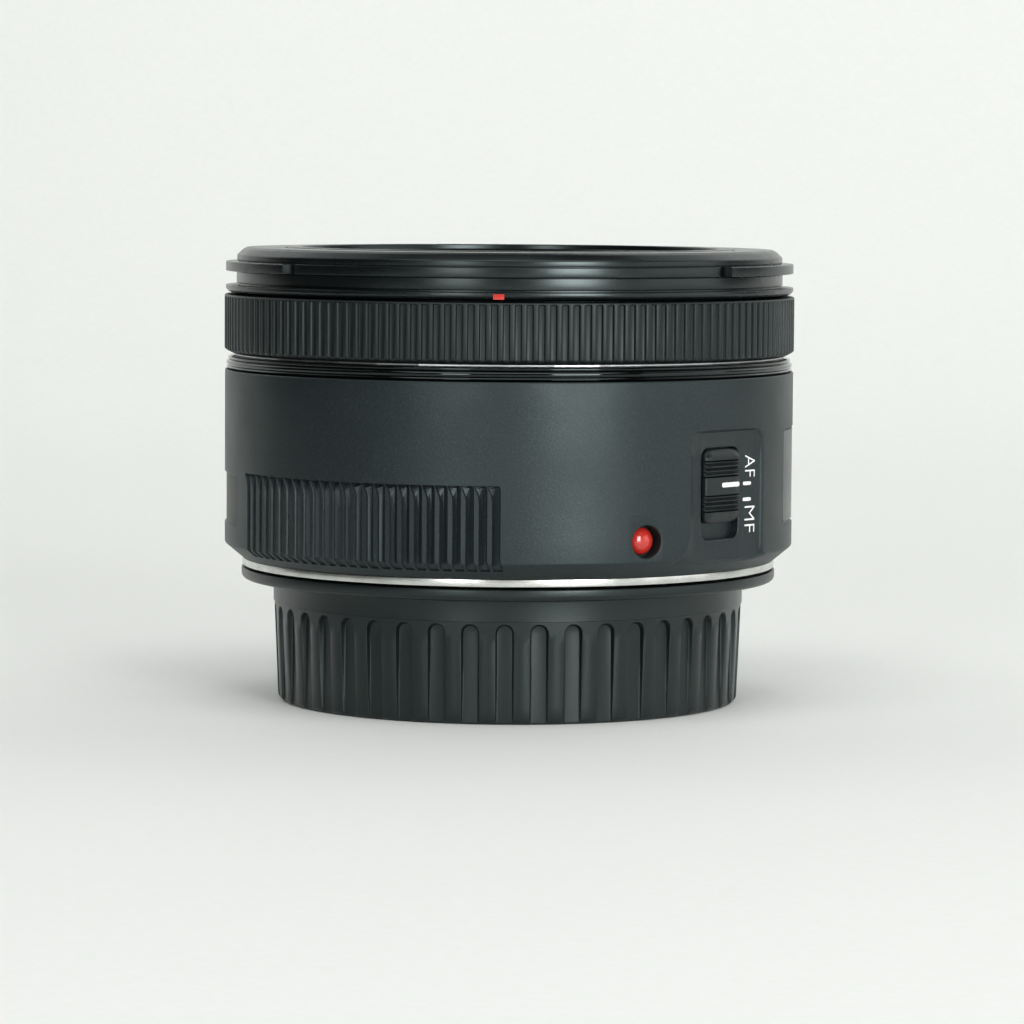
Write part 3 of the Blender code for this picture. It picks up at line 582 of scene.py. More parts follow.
# under the foot: a shallow moulded recess inside a standing ring
for radius, z in ((26.4, 0.0), (26.1, 0.1), (26.0, 0.45), (25.8, 0.5)):
    foot_row = extend(cap_bm, foot_row, radius, z)
close_pole(cap_bm, foot_row, 0.5)
rim_outline = [(SKIRT_R, FLUTE_TOP + 0.4, 0), (SKIRT_R, SKIRT_TOP + 0.1, 0.35), (CAP_RIM_R, 14.85, 1.1),
               (CAP_RIM_R, CAP_TOP, 0.2), (CAP_BORE_R, CAP_TOP, 0.25), (CAP_BORE_R, CAP_FLOOR, 0.8),
               (20.0, CAP_FLOOR, 0)]
for radius, z in soften(rim_outline, closed=False, steps=5):
    band_row = extend(cap_bm, band_row, radius, z)
close_pole(cap_bm, band_row, CAP_FLOOR)
cap_mesh = ring_of_slices("cap", cap_bm, FLUTES, FLUTE_PITCH, FLUTE_PHASE, cap_plastic)
place_piece("fluted_cap", cap_mesh, cap_plastic, "cap", ["rear_cap"])

# %% [markdown]
# ### Cap tabs
#
# Three tabs inside the cap grip the lens behind its bayonet lugs. They are seen only when the lens is
# lifted off. One tab is a slice, and the tree makes three.

# %% Cap tabs
TAB_HALF_ANGLE, TAB_MIDDLE = 17, 147.7


def sector_block(r0, r1, half_angle, z0, z1, edge=0.15, steps=12):
    """A curved block centred on angle 0, with softened edges along its length."""
    bm = bmesh.new()
    section = soften([(r0, z0, edge), (r1, z0, edge), (r1, z1, edge), (r0, z1, edge)])
    loops = []
    for k in range(steps + 1):
        angle = -half_angle + 2 * half_angle * k / steps
        loops.append([bm.verts.new((*polar(angle, radius), z)) for radius, z in section])
    for one, two in zip(loops, loops[1:]):
        for i in range(len(one)):
            bm.faces.new((one[i - 1], one[i], two[i], two[i - 1]))
    bm.faces.new(loops[0])
    bm.faces.new(loops[-1])
    return bm


tab = sector_block(25.8, CAP_BORE_R + 0.3, TAB_HALF_ANGLE, 13.9, 15.1)
tab_mesh = ring_of_slices("tabs", tab, 3, 120, TAB_MIDDLE, cap_plastic)
place_piece("cap_tabs", tab_mesh, cap_plastic, "cap")

# %% [markdown]
# ## Mount ring
#
# The bayonet is turned brass with three lugs. The same sweep makes it, with an outline that carries a
# lug only at some angles, and a Boolean opens the four counterbores for the screws.

# %% Mount ring
FLANGE_Z = 16.5
TUBE_R, TUBE_BORE_R = 25.4, 23.6
LUG_R, LUG_TOP = 26.7, 13.4
LUG_MIDDLES = (87.7, 207.7, 327.7)
LUG_HALF = 31.0
LUG_END = 0.6


def lug_share(angle):
    """1 on a lug, 0 between lugs, with a short slope at each end."""
    gap = min(abs((angle - middle + 180) % 360 - 180) for middle in LUG_MIDDLES)
    return min(max((LUG_HALF - gap) / LUG_END, 0), 1)


def mount_outline(angle):
    outer = TUBE_R + lug_share(angle) * (LUG_R - TUBE_R)
    return soften([(TUBE_BORE_R, TUBE_END, 0.15), (outer, TUBE_END, 0.15), (outer, LUG_TOP, 0.1),
                   (TUBE_R, LUG_TOP + 0.02, 0.05), (TUBE_R, FLANGE_Z, 0.1), (MOUNT_R, FLANGE_Z, 0.1),
                   (MOUNT_R, 17.38, 0.05), (31.35, 17.38, 0.05), (31.35, 18.0, 0.1),
                   (TUBE_BORE_R, 18.0, 0.2)])


lug_angles = [360 * k / ROUND_STEPS for k in range(ROUND_STEPS)]
for middle in LUG_MIDDLES:
    for side in (-1, 1):
        lug_angles += [(middle + side * (LUG_HALF - back)) % 360 for back in (0, LUG_END)]
mount_bm = swept(mount_outline, sorted(set(round(angle, 4) for angle in lug_angles)))
mount_mesh = finished_mesh("mount", mount_bm)
mount_piece = bpy.data.objects.new("mount_cut", mount_mesh)
bpy.context.scene.collection.objects.link(mount_piece)

SCREW_R = 28.9
SCREW_FIRST = 72.7
hole_bm = swept(lambda angle: [(0, 16), (1.5, 16), (1.5, 17.05), (0.9, 17.05), (0.9, 18.5), (0, 18.5)],
                [360 * k / 24 for k in range(24)])
bmesh.ops.translate(hole_bm, vec=(0, -SCREW_R, 0), verts=hole_bm.verts)
holes_mesh = ring_of_slices("holes", hole_bm, 4, 90, SCREW_FIRST, mount_chrome)
holes = bpy.data.objects.new("holes", holes_mesh)
bpy.context.scene.collection.objects.link(holes)
cut = mount_piece.modifiers.new("holes", "BOOLEAN")
cut.operation = "DIFFERENCE"
cut.solver = "EXACT"
cut.object = holes
evaluated = mount_piece.evaluated_get(bpy.context.evaluated_depsgraph_get())
mount_mesh = bpy.data.meshes.new_from_object(evaluated)
bpy.data.objects.remove(mount_piece)
bpy.data.objects.remove(holes)
place_piece("bayonet_mount", mount_mesh, mount_chrome, "lens", ["mount_ring"])

# %% [markdown]
# ### Mount screws and contacts
#
# Four cross-head screws hold the mount, and seven sprung pins carry power and data. Each is a small
# shape that the tree repeats. The recess of a screw is too small to cut here, so four dark bars on the
# shallow dome are painted shade, standing for the shadow inside its cross.

# %% Screws, contacts and baffle
def small_dome(radius, z_edge, z_top, shank_r, z_end, sides=24):
    """A turned button with a rounded head that looks down, and a shank that goes up."""
    outline = soften([(0, z_top, 0), (radius * 0.6, z_top, 0.2), (radius, z_edge, 0.1),
                      (radius, z_edge + 0.3, 0.05), (shank_r, z_edge + 0.3, 0), (shank_r, z_end, 0),
                      (0, z_end, 0)], closed=True)
    return swept(lambda angle: outline, [360 * k / sides for k in range(sides)])


def cross_recess_shade(radius, depth, sides=4):
    """Four dark bars of painted shade, set round the middle of a screw head where its cross recess lies."""
    bm = bmesh.new()
    for k in range(sides):
        bar = bmesh.ops.create_cube(bm, size=1)["verts"]
        bmesh.ops.scale(bm, vec=(radius, 0.22, depth), verts=bar)
        bmesh.ops.translate(bm, vec=(radius / 2, 0, 0), verts=bar)
        bmesh.ops.rotate(bm, matrix=Matrix.Rotation(math.tau * k / sides, 3, "Z"), verts=bar)
    return bm


screw_bm = small_dome(1.32, 16.75, 16.6, 0.75, 19.4)
bmesh.ops.translate(screw_bm, vec=(0, -SCREW_R, 0), verts=screw_bm.verts)
screw_mesh = ring_of_slices("screws", screw_bm, 4, 90, SCREW_FIRST, plated_steel)
place_piece("mount_screws", screw_mesh, plated_steel, "lens",
            [f"mount_screw_{k + 1}" for k in range(4)])
# painted shade: dark blackened-steel bars stand for the shadow in each cross recess
cross_shade_bm = cross_recess_shade(0.75, 0.1)
bmesh.ops.translate(cross_shade_bm, vec=(0, -SCREW_R, 16.58), verts=cross_shade_bm.verts)
cross_shade_mesh = ring_of_slices("crosses", cross_shade_bm, 4, 90, SCREW_FIRST, blade_steel)
place_piece("screw_cross_painted_shade", cross_shade_mesh, blade_steel, "lens")

CONTACT_MIDDLE, CONTACT_STEP, CONTACTS = 207.7, 6.4, 7
pin_bm = small_dome(0.65, 9.75, 9.5, 0.64, 11.1, 16)
bmesh.ops.translate(pin_bm, vec=(0, -21.2, 0), verts=pin_bm.verts)
pin_first = CONTACT_MIDDLE - CONTACT_STEP * (CONTACTS - 1) / 2
pin_mesh = ring_of_slices("contacts", pin_bm, CONTACTS, CONTACT_STEP, pin_first, contact_gold)
place_piece("contact_pins", pin_mesh, contact_gold, "lens",
            [f"contact_pin_{k + 1}" for k in range(CONTACTS)])

block_half = CONTACT_STEP * CONTACTS / 2 + 2.5
block_bm = sector_block(18.6, 23.2, block_half, 9.72, 12.3, 0.3, 40)
block_mesh = ring_of_slices("block", block_bm, 1, 0, CONTACT_MIDDLE, front_plastic)
place_piece("contact_carrier", block_mesh, front_plastic, "lens", ["contact_block"])
baffle = turned([(14.1, 12.4, 0.2), (23.4, 12.4, 0.2), (23.4, 19.3, 0.1), (22.6, 19.3, 0.1),
                 (22.6, 13.4, 0.2), (14.1, 13.4, 0.2)])
place_piece("rear_light_baffle", finished_mesh("baffle", baffle), front_plastic, "lens",
            ["rear_baffle"])

# %% [markdown]
# ## Outer barrel
#
# The barrel wall carries a switch panel, a pocket for the index dot, two shallow plate seats and two
# patches of grip ribs. The wall is drawn flat, as if it were unrolled: outlines of the features are
# laid on a grid of upright lines, Delaunay triangulation joins them, and each point is then rolled
# back and sunk by the depth of the feature that it stands in. Loops a few hundredths of a millimetre
# apart along each outline give every edge a small radius.

# %% Flat outlines of the features
ARC = math.radians(1) * BODY_R       # millimetres of wall for one degree
PANEL_ANGLE, PANEL_FLAT = 49.1, 33.55
PANEL_HALF, PANEL_TOP, PANEL_CORNER = 6.52, 34.1, 1.6
CHAMFER_TOP = 19.2


def on_panel(x, z):
    """A point of the flat switch panel, laid on the unrolled wall."""
    return (PANEL_ANGLE + math.degrees(math.atan(x / PANEL_FLAT))) * ARC, z


def panel_outline():
    """The panel's edge: round upper corners, and feet that sweep out into the chamfer."""
    left_flare, right_flare, foot = 3.0, 1.2, CHAMFER_TOP - 0.35
    points = arc_points(left_flare, -80, 0, 8, (-PANEL_HALF - left_flare, CHAMFER_TOP + left_flare))
    inner = PANEL_HALF - PANEL_CORNER
    points += arc_points(PANEL_CORNER, 180, 90, 6, (-inner, PANEL_TOP - PANEL_CORNER))
    points += arc_points(PANEL_CORNER, 90, 0, 6, (inner, PANEL_TOP - PANEL_CORNER))
    points += arc_points(right_flare, 180, 260, 6, (PANEL_HALF + right_flare, CHAMFER_TOP + right_flare))
    points = [(points[0][0], foot)] + points + [(points[-1][0], foot)]
    return [on_panel(x, z) for x, z in points]


def rounded_box(x0, x1, z0, z1, corner, steps=5):
    """A rectangle with round corners, anticlockwise from its lower right."""
    points = arc_points(corner, -90, 0, steps, (x1 - corner, z0 + corner))
    points += arc_points(corner, 0, 90, steps, (x1 - corner, z1 - corner))
    points += arc_points(corner, 90, 180, steps, (x0 + corner, z1 - corner))
    points += arc_points(corner, 180, 270, steps, (x0 + corner, z0 + corner))
    return points


RIBS, RIB_FIRST, RIB_STEP = 25, -0.95, 2.53
RIB_Z0, RIB_Z1 = 18.45, 28.2
GROOVE_SHARE, GROOVE_DEPTH, GROOVE_EDGE = 0.5, 0.6, 0.11


def groove_outline(middle):
    """A groove between two ribs. Its ends lean over the ribs, which gives the ribs pointed tips."""
    half = GROOVE_SHARE * RIB_STEP * ARC / 2
    lean = 0.62
    x = middle * ARC
    return [(x + half, RIB_Z0 + 1.2), (x + half, RIB_Z1 - 0.35), (x + half - 0.1, RIB_Z1),
            (x - half - lean, RIB_Z1), (x - half - lean * 0.55, RIB_Z1 - 0.5),
            (x - half - lean * 0.2, RIB_Z1 - 1.0), (x - half, RIB_Z1 - 1.6), (x - half, RIB_Z0 + 0.25),
            (x - half + 0.15, RIB_Z0), (x + half + 0.35, RIB_Z0), (x + half + 0.2, RIB_Z0 + 0.6)]


print("panel outline has", len(panel_outline()), "points, a groove", len(groove_outline(0)))

# %% [markdown]
# ### The wall without its features
#
# Without any feature the wall is one outline: a chamfer, a straight side and a rounded top edge. The
# depth at a point grows smoothly from 0 to 1 across each outline.

# %% Wall and depth
WALL = soften([(32.45, BODY_Z0, 0), (BODY_R, CHAMFER_TOP, 0.5), (BODY_R, BODY_TOP, 0.22),
               (34.1, BODY_TOP, 0)], closed=False, steps=4)[:-1]
WALL_Z = [z for _, z in WALL]
WALL_R = [radius for radius, _ in WALL]


def wall_radius(z):
    return np.interp(z, WALL_Z, WALL_R)


def offset(outline, distance):
    """The outline grown by this distance, corner by corner."""
    points = np.array(outline)
    ahead = np.roll(points, -1, axis=0) - points
    ahead /= np.linalg.norm(ahead, axis=1)[:, None]
    normals = np.stack([ahead[:, 1], -ahead[:, 0]], axis=1)
    before = np.roll(normals, 1, axis=0)
    miter = normals + before
    miter /= np.maximum((miter * normals).sum(axis=1), 0.3)[:, None]
    turning = (points[:, 0] * np.roll(points[:, 1], -1) - np.roll(points[:, 0], -1) * points[:, 1]).sum()
    return points + math.copysign(distance, turning) * miter


def depth_inside(points, outline):
    """Distance of each point from the outline, positive inside it."""
    a = np.array(outline)
    b = np.roll(a, -1, axis=0)
    along = b - a
    rel = points[:, None, :] - a[None]
    t = np.clip((rel * along).sum(axis=2) / (along ** 2).sum(axis=1), 0, 1)
    distance = np.linalg.norm(rel - t[..., None] * along, axis=2).min(axis=1)
    crosses = (a[None, :, 1] > points[:, None, 1]) != (b[None, :, 1] > points[:, None, 1])
    rise = np.where(along[:, 1] == 0, 1, along[:, 1])
    at_x = a[:, 0] + (points[:, None, 1] - a[:, 1]) * along[:, 0] / rise
    inside = (crosses & (points[:, None, 0] < at_x)).sum(axis=1) % 2 == 1
    return np.where(inside, distance, -distance)


class Feature:
    """An outline on the unrolled wall, with the radius of its floor and the width of its rounded edge."""

    def __init__(self, outline, floor, edge):
        self.outline = outline
        self.floor = floor
        self.edge = edge

    def sink(self, points, radius):
        reach = np.array(self.outline)
        low, high = reach.min(axis=0) - self.edge, reach.max(axis=0) + self.edge
        near = ((points >= low) & (points <= high)).all(axis=1)
        share = np.clip((depth_inside(points[near], self.outline) / self.edge + 1) / 2, 0, 1)
        share = share * share * (3 - 2 * share)
        target = np.minimum(self.floor(points[near]), radius[near])
        radius[near] += share * (target - radius[near])


def panel_floor(points):
    turn = np.radians(points[:, 0] / ARC - PANEL_ANGLE)
    return np.minimum(PANEL_FLAT / np.cos(turn), BODY_R - 0.24)


def groove_floor(points):
    return wall_radius(points[:, 1]) - GROOVE_DEPTH


def plate_floor(points):
    return np.full(len(points), PLATE_SEAT_R)


features = [Feature(panel_outline(), panel_floor, 0.25)]
for patch in (0, 180):
    for k in range(RIBS):
        middle = patch + RIB_FIRST - RIB_STEP * (k + 0.5)
        features.append(Feature(groove_outline(middle), groove_floor, GROOVE_EDGE))
NAME_SEAT = (-111.0, -69.4, 21.7, 27.8)
BADGE_SEAT = (72.1, 108.2, 22.1, 33.7)
PLATE_SEAT_R, SEAT_EDGE = BODY_R - 0.42, 0.07
for first, last, z0, z1 in (NAME_SEAT, BADGE_SEAT):
    seat = rounded_box(first * ARC, last * ARC, z0, z1, 0.7)
    features.append(Feature(seat, plate_floor, SEAT_EDGE))

SLOT_X, SLOT_HALF, SLOT_Z0, SLOT_Z1 = -0.85, 3.5, 21.4, 32.2
DOT_ANGLE, DOT_Z, DOT_HOLE = 27.7, 21.7, 1.92
slot_outline = [on_panel(x, z) for x, z in
                rounded_box(SLOT_X - SLOT_HALF, SLOT_X + SLOT_HALF, SLOT_Z0, SLOT_Z1, 1.1)]
dot_outline = arc_points(DOT_HOLE, 0, 354, 59, (DOT_ANGLE * ARC, DOT_Z))
pockets = [(slot_outline, PANEL_ANGLE, 32.5), (dot_outline, DOT_ANGLE, 32.4)]
print(len(features), "sunk features and", len(pockets), "deep pockets")

# %% [markdown]
# ### Triangulate, sink and roll
#
# The flat drawing is cut open behind the lens, where no feature crosses it. Two pockets are too deep
# for a sunk surface: their faces are removed and their rims are extruded straight inwards instead.

# %% Unrolled wall
CUT_ANGLE = -150.0
COLUMN_STEP = 1.25
EDGE_LOOPS = (-1.0, -0.5, 0.0, 0.5, 1.0)
POCKET_LIP, LIP_DROP = 0.16, 0.1      # width and depth of the rounding at a pocket's rim
columns = [CUT_ANGLE + COLUMN_STEP * k for k in range(int(360 / COLUMN_STEP) + 1)]
flat, edges = [], []


def add_line(points, closed=False):
    """Adds a line of the drawing that the triangles have to keep."""
    first = len(flat)
    flat.extend((float(x), float(z)) for x, z in points)
    last = len(flat) - 1
    edges.extend((i, i + 1) for i in range(first, last))
    if closed:
        edges.append((last, first))


levels = sorted(set(WALL_Z + [22.0, 25.0, 28.0, 31.0, 34.0, 37.0]))
for z in levels:
    add_line([(angle * ARC, z) for angle in columns])
for angle in columns:
    add_line([(angle * ARC, z) for z in levels])
for feature in features:
    outline = feature.outline
    low_x = min(x for x, _ in outline)
    if low_x < CUT_ANGLE * ARC:
        feature.outline = [(x + 360 * ARC, z) for x, z in outline]
    for share in EDGE_LOOPS:
        add_line(offset(feature.outline, share * feature.edge), closed=True)
for outline, _, _ in pockets:
    for grow in (POCKET_LIP, POCKET_LIP / 2, 0.0):
        add_line(offset(outline, grow), closed=True)
flat_verts, _, flat_faces, _, _, _ = delaunay_2d_cdt([Vector(p) for p in flat], edges, [], 0, 1e-5)
flat_points = np.array([tuple(v) for v in flat_verts])
radius = wall_radius(flat_points[:, 1])
for feature in features:
    feature.sink(flat_points, radius)
for outline, _, _ in pockets:
    lip = np.clip(depth_inside(flat_points, outline) / POCKET_LIP + 1, 0, 1)
    radius -= LIP_DROP * lip ** 2
print(len(flat_verts), "points and", len(flat_faces), "triangles on the unrolled wall")

# %% [markdown]
# The rolled wall is closed with a bottom, a top and a bore, so that the barrel is a solid tube.

# %% Rolled barrel
def in_pocket(face, outline):
    centre = flat_points[list(face)].mean(axis=0)
    return depth_inside(centre[None], outline)[0] > 0


def near_pocket(face, outline):
    centre = flat_points[list(face)].mean(axis=0)
    low, high = np.array(outline).min(axis=0), np.array(outline).max(axis=0)
    return bool(((centre > low) & (centre < high)).all())


barrel = bmesh.new()
rolled = [barrel.verts.new((*polar(x / ARC, r), z)) for (x, z), r in zip(flat_points, radius)]
removed = [set(), set()]
for face in flat_faces:
    inside = [k for k, (outline, _, _) in enumerate(pockets)
              if near_pocket(face, outline) and in_pocket(face, outline)]
    if inside:
        removed[inside[0]].update(face)
    else:
        barrel.faces.new([rolled[i] for i in face])
barrel.verts.index_update()

bore_r = 32.3
closing = [(34.1, BODY_TOP), (32.6, BODY_TOP), (32.6, 38.6), (bore_r, 38.3), (bore_r, 19.6), (26.2, 19.6),
           (26.2, 18.1), (31.6, 18.1), (31.6, BODY_Z0)]
rim_rows = [[rolled[i] for i in np.lexsort((flat_points[:, 0],)) if abs(flat_points[i, 1] - z) < 1e-6]
            for z in (WALL_Z[-1], WALL_Z[0])]
row = rim_rows[0]
for r, z in closing:
    row = extend(barrel, row, r, z)
for i in range(len(row) - 1):
    barrel.faces.new((row[i], row[i + 1], rim_rows[1][i + 1], rim_rows[1][i]))
bmesh.ops.remove_doubles(barrel, verts=barrel.verts, dist=1e-4)
bmesh.ops.delete(barrel, geom=[v for v in barrel.verts if not v.link_faces], context="VERTS")

open_edges = [edge for edge in barrel.edges if edge.is_boundary]
made = bmesh.ops.extrude_edge_only(barrel, edges=open_edges)["geom"]
for vert in [item for item in made if isinstance(item, bmesh.types.BMVert)]:
    angle = math.degrees(math.atan2(vert.co.x, -vert.co.y))
    _, facing, depth = min(pockets, key=lambda pocket: abs(pocket[1] - angle))
    outwards = Vector((*polar(facing, 1), 0))
    vert.co += (depth - vert.co.dot(outwards)) * outwards
made_edges = [item for item in made if isinstance(item, bmesh.types.BMEdge)]
bmesh.ops.contextual_create(barrel, geom=[edge for edge in made_edges if edge.is_boundary])
barrel_mesh = finished_mesh("barrel", barrel)
place_piece("barrel_shell", barrel_mesh, barrel_plastic, "lens", ["outer_barrel"])
print(len(open_edges), "open pocket edges closed")

# %% [markdown]
# ### Plates and index dot
#
# The badge plate and the name plate are thin mouldings pressed into their seats. They are left blank.
# The index dot is a red dome sunk in its pocket.

# %% Plates and dot
def curved_plate(first, last, z0, z1, face_r, corner=0.6):
    """A thin plate bent round the barrel, with round corners and a softened edge."""
    outline = rounded_box(first * ARC, last * ARC, z0, z1, corner)
    upright = [x * ARC for x in np.arange(math.ceil(first), last, 1.5)]
    points, lines = [], []
    for grow in (0.0, -0.06, -0.12):
        start = len(points)
        points.extend(map(tuple, offset(outline, grow)))
        lines += [(k, k + 1) for k in range(start, len(points) - 1)] + [(len(points) - 1, start)]
    for x in upright:
        points += [(x, z0 + 0.01), (x, z1 - 0.01)]
        lines.append((len(points) - 2, len(points) - 1))
    verts, _, faces, _, _, _ = delaunay_2d_cdt([Vector(p) for p in points], lines, [], 1, 1e-5)
    at = np.array([tuple(v) for v in verts])
    share = np.clip(depth_inside(at, outline) / 0.12, 0, 1)
    heights = face_r - 0.06 * (1 - share) ** 2
    bm = bmesh.new()
    front = [bm.verts.new((*polar(x / ARC, r), z)) for (x, z), r in zip(at, heights)]
    for face in faces:
        bm.faces.new([front[i] for i in face])
    rim = bmesh.ops.extrude_edge_only(bm, edges=[e for e in bm.edges if e.is_boundary])["geom"]
    for vert in [item for item in rim if isinstance(item, bmesh.types.BMVert)]:
        reach = math.hypot(vert.co.x, vert.co.y)
        vert.co.x *= PLATE_SEAT_R / reach
        vert.co.y *= PLATE_SEAT_R / reach
    return bm


badge = curved_plate(72.75, 107.6, 22.6, 33.5, BODY_R - 0.01)
place_piece("badge_plate_blank", finished_mesh("badge", badge), front_plastic, "lens",
            ["badge_plate"])
name_bm = curved_plate(-110.8, -69.6, 21.85, 27.65, BODY_R - 0.16)
place_piece("name_plate_blank", finished_mesh("name", name_bm), ring_plastic, "lens",
            ["name_plate"])


def face_out(bm, angle, distance, height):
    """Turns a shape drawn with z outwards and y up, and sets it on the wall at this angle."""
    turn = math.radians(angle)
    axes = Matrix(((math.cos(turn), math.sin(turn), 0), (0, 0, 1), (math.sin(turn), -math.cos(turn), 0)))
    bmesh.ops.transform(bm, matrix=axes.transposed().to_4x4(), verts=bm.verts)
    bmesh.ops.translate(bm, vec=(*polar(angle, distance), height), verts=bm.verts)
    return bm


DOME_R, DOME_RISE, DOME_EDGE, DOME_FOOT = 1.6, 0.95, -0.5, -1.05
DOT_OUT = 33.4       # distance of the drawn dome's origin from the lens axis
dome_turns = [math.radians(turn) for turn in range(0, 91, 10)]
dome = [(DOME_R * math.sin(turn), DOME_RISE * math.cos(turn) + DOME_EDGE) for turn in dome_turns]
dome += [(DOME_R, DOME_FOOT), (0, DOME_FOOT)]
dot_bm = swept(lambda angle: dome, [360 * k / 48 for k in range(48)])
place_piece("red_index_dot", finished_mesh("dot", face_out(dot_bm, DOT_ANGLE, DOT_OUT, DOT_Z)), index_red,
            "lens", ["mount_index_dot"])

# %% [markdown]
# ### Focus mode switch
#
# The slider is a small acetal block with a rounded outline, four finger ridges above and four below a
# flat middle, and a white index line. It runs in the slot of the switch panel.

# %% Switch slider
SLIDER_W, SLIDER_H = 6.5, 8.6
SLIDER_Z = SLOT_Z1 - 0.2 - SLIDER_H / 2
SLIDER_FACE = 34.05
RIDGES, RIDGE_PITCH, RIDGE_START = 4, 0.5, 1.28


def slider_height(y):
    """The face dips between ridges and rounds off towards both ends."""
    away = abs(y)
    end = max(away - (SLIDER_H / 2 - 1.3), 0) / 1.3
    height = -0.55 * end ** 2
    in_ridges = abs(away - RIDGE_START - 1.5 * RIDGE_PITCH) < RIDGES / 2 * RIDGE_PITCH
    if in_ridges:
        height += 0.16 * math.cos(math.tau * (away - RIDGE_START) / RIDGE_PITCH) - 0.14
    return height


def switch_slider():
    bm = bmesh.new()
    rows = [SLIDER_H * (k / 144 - 0.5) for k in range(145)]
    half, corner = SLIDER_W / 2, 0.9
    across = (-1.0, -0.985, -0.95, -0.6, 0, 0.6, 0.95, 0.985, 1.0)
    edge_drop = (0.3, 0.1, 0.0, 0.0, 0.0, 0.0, 0.0, 0.1, 0.3)
    grid = []
    for y in rows:
        inset = max(abs(y) - (SLIDER_H / 2 - corner), 0)
        width = half - (corner - math.sqrt(max(corner ** 2 - inset ** 2, 0)))
        grid.append([bm.verts.new((width * share, y, slider_height(y) - drop))
                     for share, drop in zip(across, edge_drop)])
    for low, high in zip(grid, grid[1:]):
        for k in range(len(across) - 1):
            bm.faces.new((low[k], low[k + 1], high[k + 1], high[k]))
    rim = bmesh.ops.extrude_edge_only(bm, edges=[e for e in bm.edges if e.is_boundary])["geom"]
    for vert in [item for item in rim if isinstance(item, bmesh.types.BMVert)]:
        vert.co.z = -1.5
    bmesh.ops.contextual_create(bm, geom=[e for e in bm.edges if e.is_boundary])
    bmesh.ops.translate(bm, vec=(SLOT_X, 0, 0), verts=bm.verts)
    return face_out(bm, PANEL_ANGLE, SLIDER_FACE, SLIDER_Z)


place_piece("switch_slider", finished_mesh("slider", switch_slider()), switch_plastic, "mode_slider",
            ["focus_mode_switch"], sharp=50)

# %% [markdown]
# ### Pad-printed marks
#
# Two short ticks and the letters AF and MF stand on the panel, turned to be read from the side, and a
# line on the slider points at them. Letters start as a text object, which becomes a mesh before it is
# put in place.

# %% Printed marks
INK = 0.02


def printed_outline(points, angle, distance, height):
    bm = bmesh.new()
    face = bm.faces.new([bm.verts.new((x, y, 0)) for x, y in points])
    top = bmesh.ops.extrude_face_region(bm, geom=[face])["geom"]
    bmesh.ops.translate(bm, vec=(0, 0, INK), verts=[v for v in top if isinstance(v, bmesh.types.BMVert)])
    return face_out(bm, angle, distance, height)


line = rounded_box(-1.15, 2.13, -0.275, 0.275, 0.25)
line_bm = printed_outline(line, PANEL_ANGLE, SLIDER_FACE - 0.005, SLIDER_Z + 0.1)
place_piece("slider_index_line", finished_mesh("line", line_bm), print_white, "mode_slider")
for number, tick_z in enumerate((27.75, 25.87)):
    tick = rounded_box(3.42, 4.97, -0.21, 0.21, 0.2)
    tick_bm = printed_outline(tick, PANEL_ANGLE, PANEL_FLAT - 0.005, tick_z)
    place_piece(f"panel_tick_{number + 1}", finished_mesh("tick", tick_bm), print_white, "lens")


def printed_word(word, length, height, centre_x, centre_z):
    """Letters of this height, turned a quarter clockwise and set on the panel."""
    curve = bpy.data.curves.new(word, "FONT")
    curve.body = word
    curve.offset = -0.012
    source = bpy.data.objects.new(word, curve)
    bpy.context.scene.collection.objects.link(source)
    mesh = bpy.data.meshes.new_from_object(source.evaluated_get(bpy.context.evaluated_depsgraph_get()))
    bpy.data.objects.remove(source)
    bm = bmesh.new()
    bm.from_mesh(mesh)
    bmesh.ops.remove_doubles(bm, verts=bm.verts, dist=1e-5)
    top = bmesh.ops.extrude_face_region(bm, geom=list(bm.faces))["geom"]
    bmesh.ops.translate(bm, vec=(0, 0, 1), verts=[v for v in top if isinstance(v, bmesh.types.BMVert)])
    corners = np.array([tuple(v.co) for v in bm.verts])
    low, high = corners.min(axis=0), corners.max(axis=0)
    scale = (length / (high[0] - low[0]), height / (high[1] - low[1]), INK)
    for vert in bm.verts:
        x = (vert.co.x - (low[0] + high[0]) / 2) * scale[0]
        y = (vert.co.y - (low[1] + high[1]) / 2) * scale[1]
        vert.co = (centre_x + y, -x, vert.co.z * INK)
    return face_out(bm, PANEL_ANGLE, PANEL_FLAT - 0.005, centre_z)


for word, length, centre_z in (("AF", 2.6, 29.8), ("MF", 3.1, 23.5)):
    word_bm = printed_word(word, length, 1.85, 4.75, centre_z)
    place_piece(f"printed_{word}", finished_mesh(word, word_bm, 1e-5), print_white, "lens")

# %% [markdown]
# ## Trim ring
#
# Three polished beads stand between barrel and focus ring. Each bead is a small arc of the outline, and
# each one mirrors the softboxes as its own bright line.

# %% Trim ring
beads = [(32.1, TRIM_Z0), (33.9, TRIM_Z0), (34.25, TRIM_Z0 + 0.05), (34.38, TRIM_Z0 + 0.2),
         (34.36, TRIM_Z0 + 0.32), (34.2, TRIM_Z0 + 0.42), (34.3, TRIM_Z0 + 0.5), (34.38, TRIM_Z0 + 0.62),
         (34.4, TRIM_Z0 + 0.8), (34.36, TRIM_Z0 + 0.95), (34.25, TRIM_Z0 + 1.06), (34.05, TRIM_Z0 + 1.16),
         (34.16, TRIM_Z0 + 1.26), (34.2, TRIM_Z0 + 1.38), (34.16, TRIM_Z0 + 1.48), (34.0, TRIM_Z0 + 1.56),
         (33.8, TRIM_TOP), (32.1, TRIM_TOP)]
place_piece("trim_beads", finished_mesh("trim", swept(lambda angle: beads)), trim_gloss, "lens",
            ["trim_ring"], sharp=50)

# %% [markdown]
# ## Focus ring
#
# The ring has 160 moulded ribs, each a flat-topped strip beside a flat-bottomed groove. A slice one rib
# wide is a small grid: columns across the rib, rows up the ring. Rows at both ends keep the full
# radius or the chamfer, so the grooves close there.

